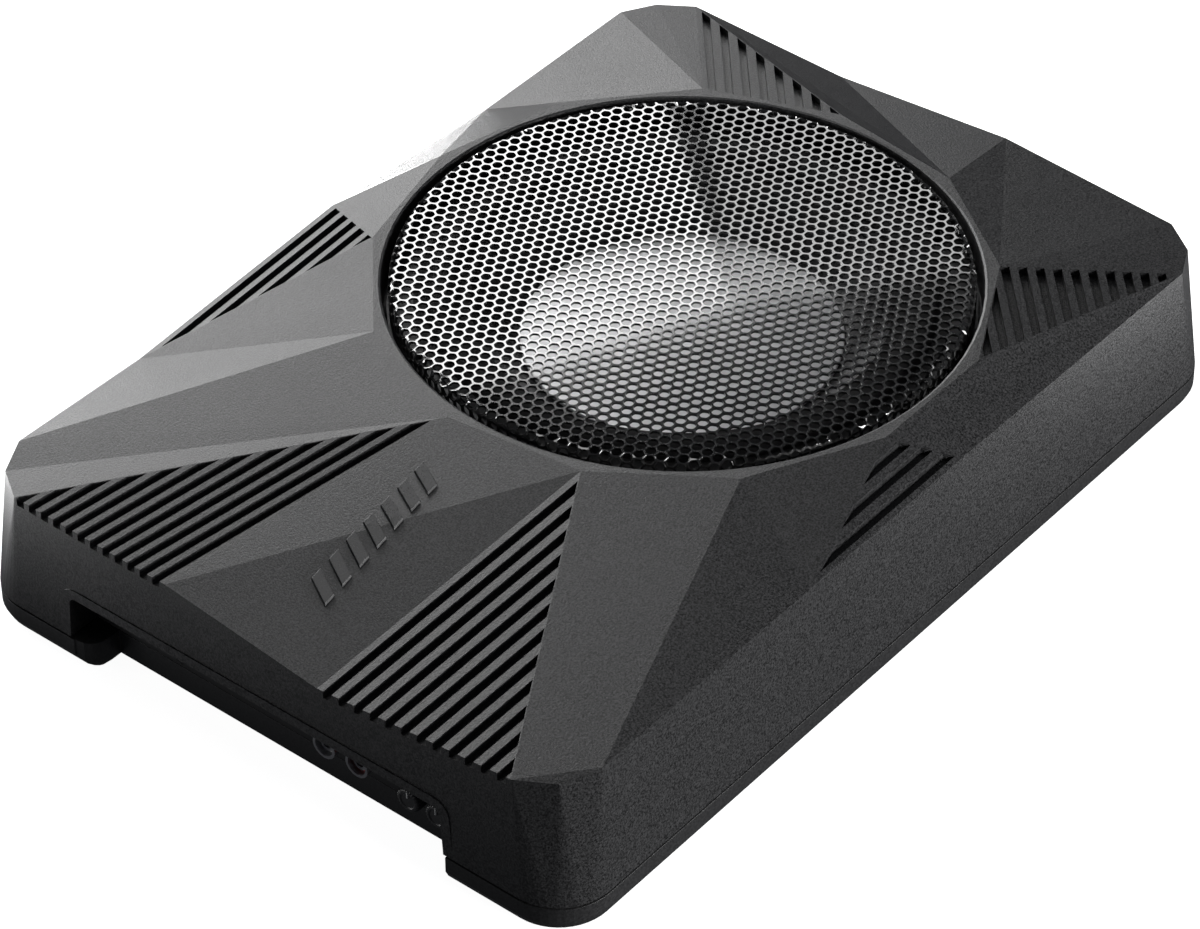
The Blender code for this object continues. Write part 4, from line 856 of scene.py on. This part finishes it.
def bar(name, low, high, finish, bevel=0.00015):
    """A rectangular piece with broken edges."""
    bm = bmesh.new()
    made = bmesh.ops.create_cube(bm, size=1)
    for vert in made["verts"]:
        vert.co = [low[i] + (vert.co[i] + 0.5) * (high[i] - low[i]) for i in range(3)]
    bmesh.ops.bevel(bm, geom=bm.edges[:], offset=bevel, segments=2, affect="EDGES")
    bmesh.ops.recalc_face_normals(bm, faces=bm.faces)
    mesh = bpy.data.meshes.new(name)
    bm.to_mesh(mesh)
    bm.free()
    item = bpy.data.objects.new(name, mesh)
    bpy.context.scene.collection.objects.link(item)
    mesh.materials.append(finish)
    return item


def make_knob(kind):
    low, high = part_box(f"{kind}_knob")
    y, z = (low.y + high.y) / 2, (low.z + high.z) / 2
    radius = (high.y - low.y) / 2
    out = PANEL_X - low.x
    back = PANEL_X - high.x
    profile = [
        (0.0023, back),
        (0.0030, back),
        (0.0030, 0.0008),
        (radius - 0.0001, 0.0008),
        (radius, 0.0012),
        (radius, out - 0.0009),
        (radius - 0.0002, out - 0.0005),
        (radius - 0.0007, out - 0.0002),
        (0.0030, out - 0.0002),
        (0.0026, out - 0.0005),
        (0, out - 0.0005),
        (0, out - 0.0026),
        (0.0023, out - 0.0026),
    ]
    knob = turned_out(f"{kind}_knob_fluted", profile, KNOB, y, z, 144, 24, 0.00035)
    piece(knob, f"{kind}_knob_body", "knob_plastic", f"{kind}_knob")
    x = PANEL_X - out
    pointer = bar(
        f"{kind}_knob_pointer",
        (x, y - 0.0003, z + 0.0012),
        (x + 0.0008, y + 0.0003, z + 0.0040),
        PRINT,
    )
    piece(pointer, f"{kind}_knob_body", "knob_plastic")
    ticks = 9
    verts, faces = [], []
    for k in range(ticks):
        angle = math.radians(90 - 140 + 280 * k / (ticks - 1))
        along = Vector((0, math.cos(angle), math.sin(angle)))
        across = Vector((0, -math.sin(angle), math.cos(angle))) * 0.00012
        base = len(verts)
        for lift in (0.0, 0.00008):
            for reach, side in ((0.0050, -1), (0.0050, 1), (0.0056, 1), (0.0056, -1)):
                spot = Vector((PANEL_X - lift, y, z)) + along * reach + across * side
                verts.append(spot)
        faces += [
            (base, base + 1, base + 2, base + 3),
            (base + 4, base + 7, base + 6, base + 5),
            (base, base + 4, base + 5, base + 1),
            (base + 1, base + 5, base + 6, base + 2),
            (base + 2, base + 6, base + 7, base + 3),
            (base + 3, base + 7, base + 4, base),
        ]
    dial = mesh_object(f"{kind}_dial_ticks", verts, faces, PRINT)
    outward_faces(dial)
    piece(dial, "case", "panel_black")


def make_panel_details():
    for kind in ("gain", "crossover"):
        make_knob(kind)
    for side, finish, slot_name in (("left", WHITE_INSERT, "rca_white"), ("right", RED_INSERT, "rca_red")):
        low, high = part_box(f"rca_socket_{side}")
        y = (low.y + high.y) / 2
        ring = [(0.0027, -0.0029), (0.0027, 0.0046), (0.0035, 0.0046), (0.0035, -0.0029)]
        insert = turned_out(f"rca_insert_{side}", ring, finish, y, AXIS_Z)
        piece(insert, "case", slot_name)
        collar = [(0.0048, 0.0), (0.0048, 0.0006), (0.0062, 0.0006), (0.0064, 0.0004), (0.0064, 0.0)]
        washer = turned_out(f"rca_washer_{side}", collar, finish, y, AXIS_Z)
        piece(washer, "case", slot_name)
    low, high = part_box("power_socket")
    floor_x = PANEL_X + 0.0100
    for number, side in ((1, -1), (2, 1)):
        middle = (low.y + high.y) / 2 + side * 0.00615
        blade = bar(
            f"power_blade_{number}",
            (floor_x - 0.0075, middle - 0.0031, AXIS_Z - 0.0004),
            (floor_x + 0.0004, middle + 0.0031, AXIS_Z + 0.0004),
            BRASS,
        )
        piece(blade, "case", "copper")
    low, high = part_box("high_level_socket")
    for row in range(2):
        for column in range(4):
            y = (low.y + high.y) / 2 + (column - 1.5) * 0.0038
            z = AXIS_Z + (row - 0.5) * 0.0040
            pin = bar(
                f"high_level_pin_{row * 4 + column + 1}",
                (PANEL_X + 0.0020, y - 0.00035, z - 0.00035),
                (PANEL_X + 0.0084, y + 0.00035, z + 0.00035),
                BRASS,
                0.0001,
            )
            piece(pin, "case", "copper")
    low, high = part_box("remote_socket")
    for column in range(6):
        y = (low.y + high.y) / 2 + (column - 2.5) * 0.0011
        pin = bar(
            f"remote_contact_{column + 1}",
            (PANEL_X + 0.0015, y - 0.00022, high.z - 0.0022),
            (PANEL_X + 0.0090, y + 0.00022, high.z - 0.0013),
            BRASS,
            0.00008,
        )
        piece(pin, "case", "copper")
    for node in ("power_socket", "fuse_holder", "high_level_socket", "remote_socket"):
        low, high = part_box(node)
        edges = (
            ("foot", (low.y - 0.0014, low.z - 0.0014), (high.y + 0.0014, low.z - 0.0004)),
            ("head", (low.y - 0.0014, high.z + 0.0004), (high.y + 0.0014, high.z + 0.0014)),
            ("near", (low.y - 0.0014, low.z - 0.0004), (low.y - 0.0004, high.z + 0.0004)),
            ("far", (high.y + 0.0004, low.z - 0.0004), (high.y + 0.0014, high.z + 0.0004)),
        )
        for side, corner, opposite in edges:
            rim = bar(
                f"{node}_rim_{side}",
                (PANEL_X - 0.0004, corner[0], corner[1]),
                (PANEL_X, opposite[0], opposite[1]),
                PANEL,
                0.0001,
            )
            piece(rim, "case", "panel_black")


make_panel_details()
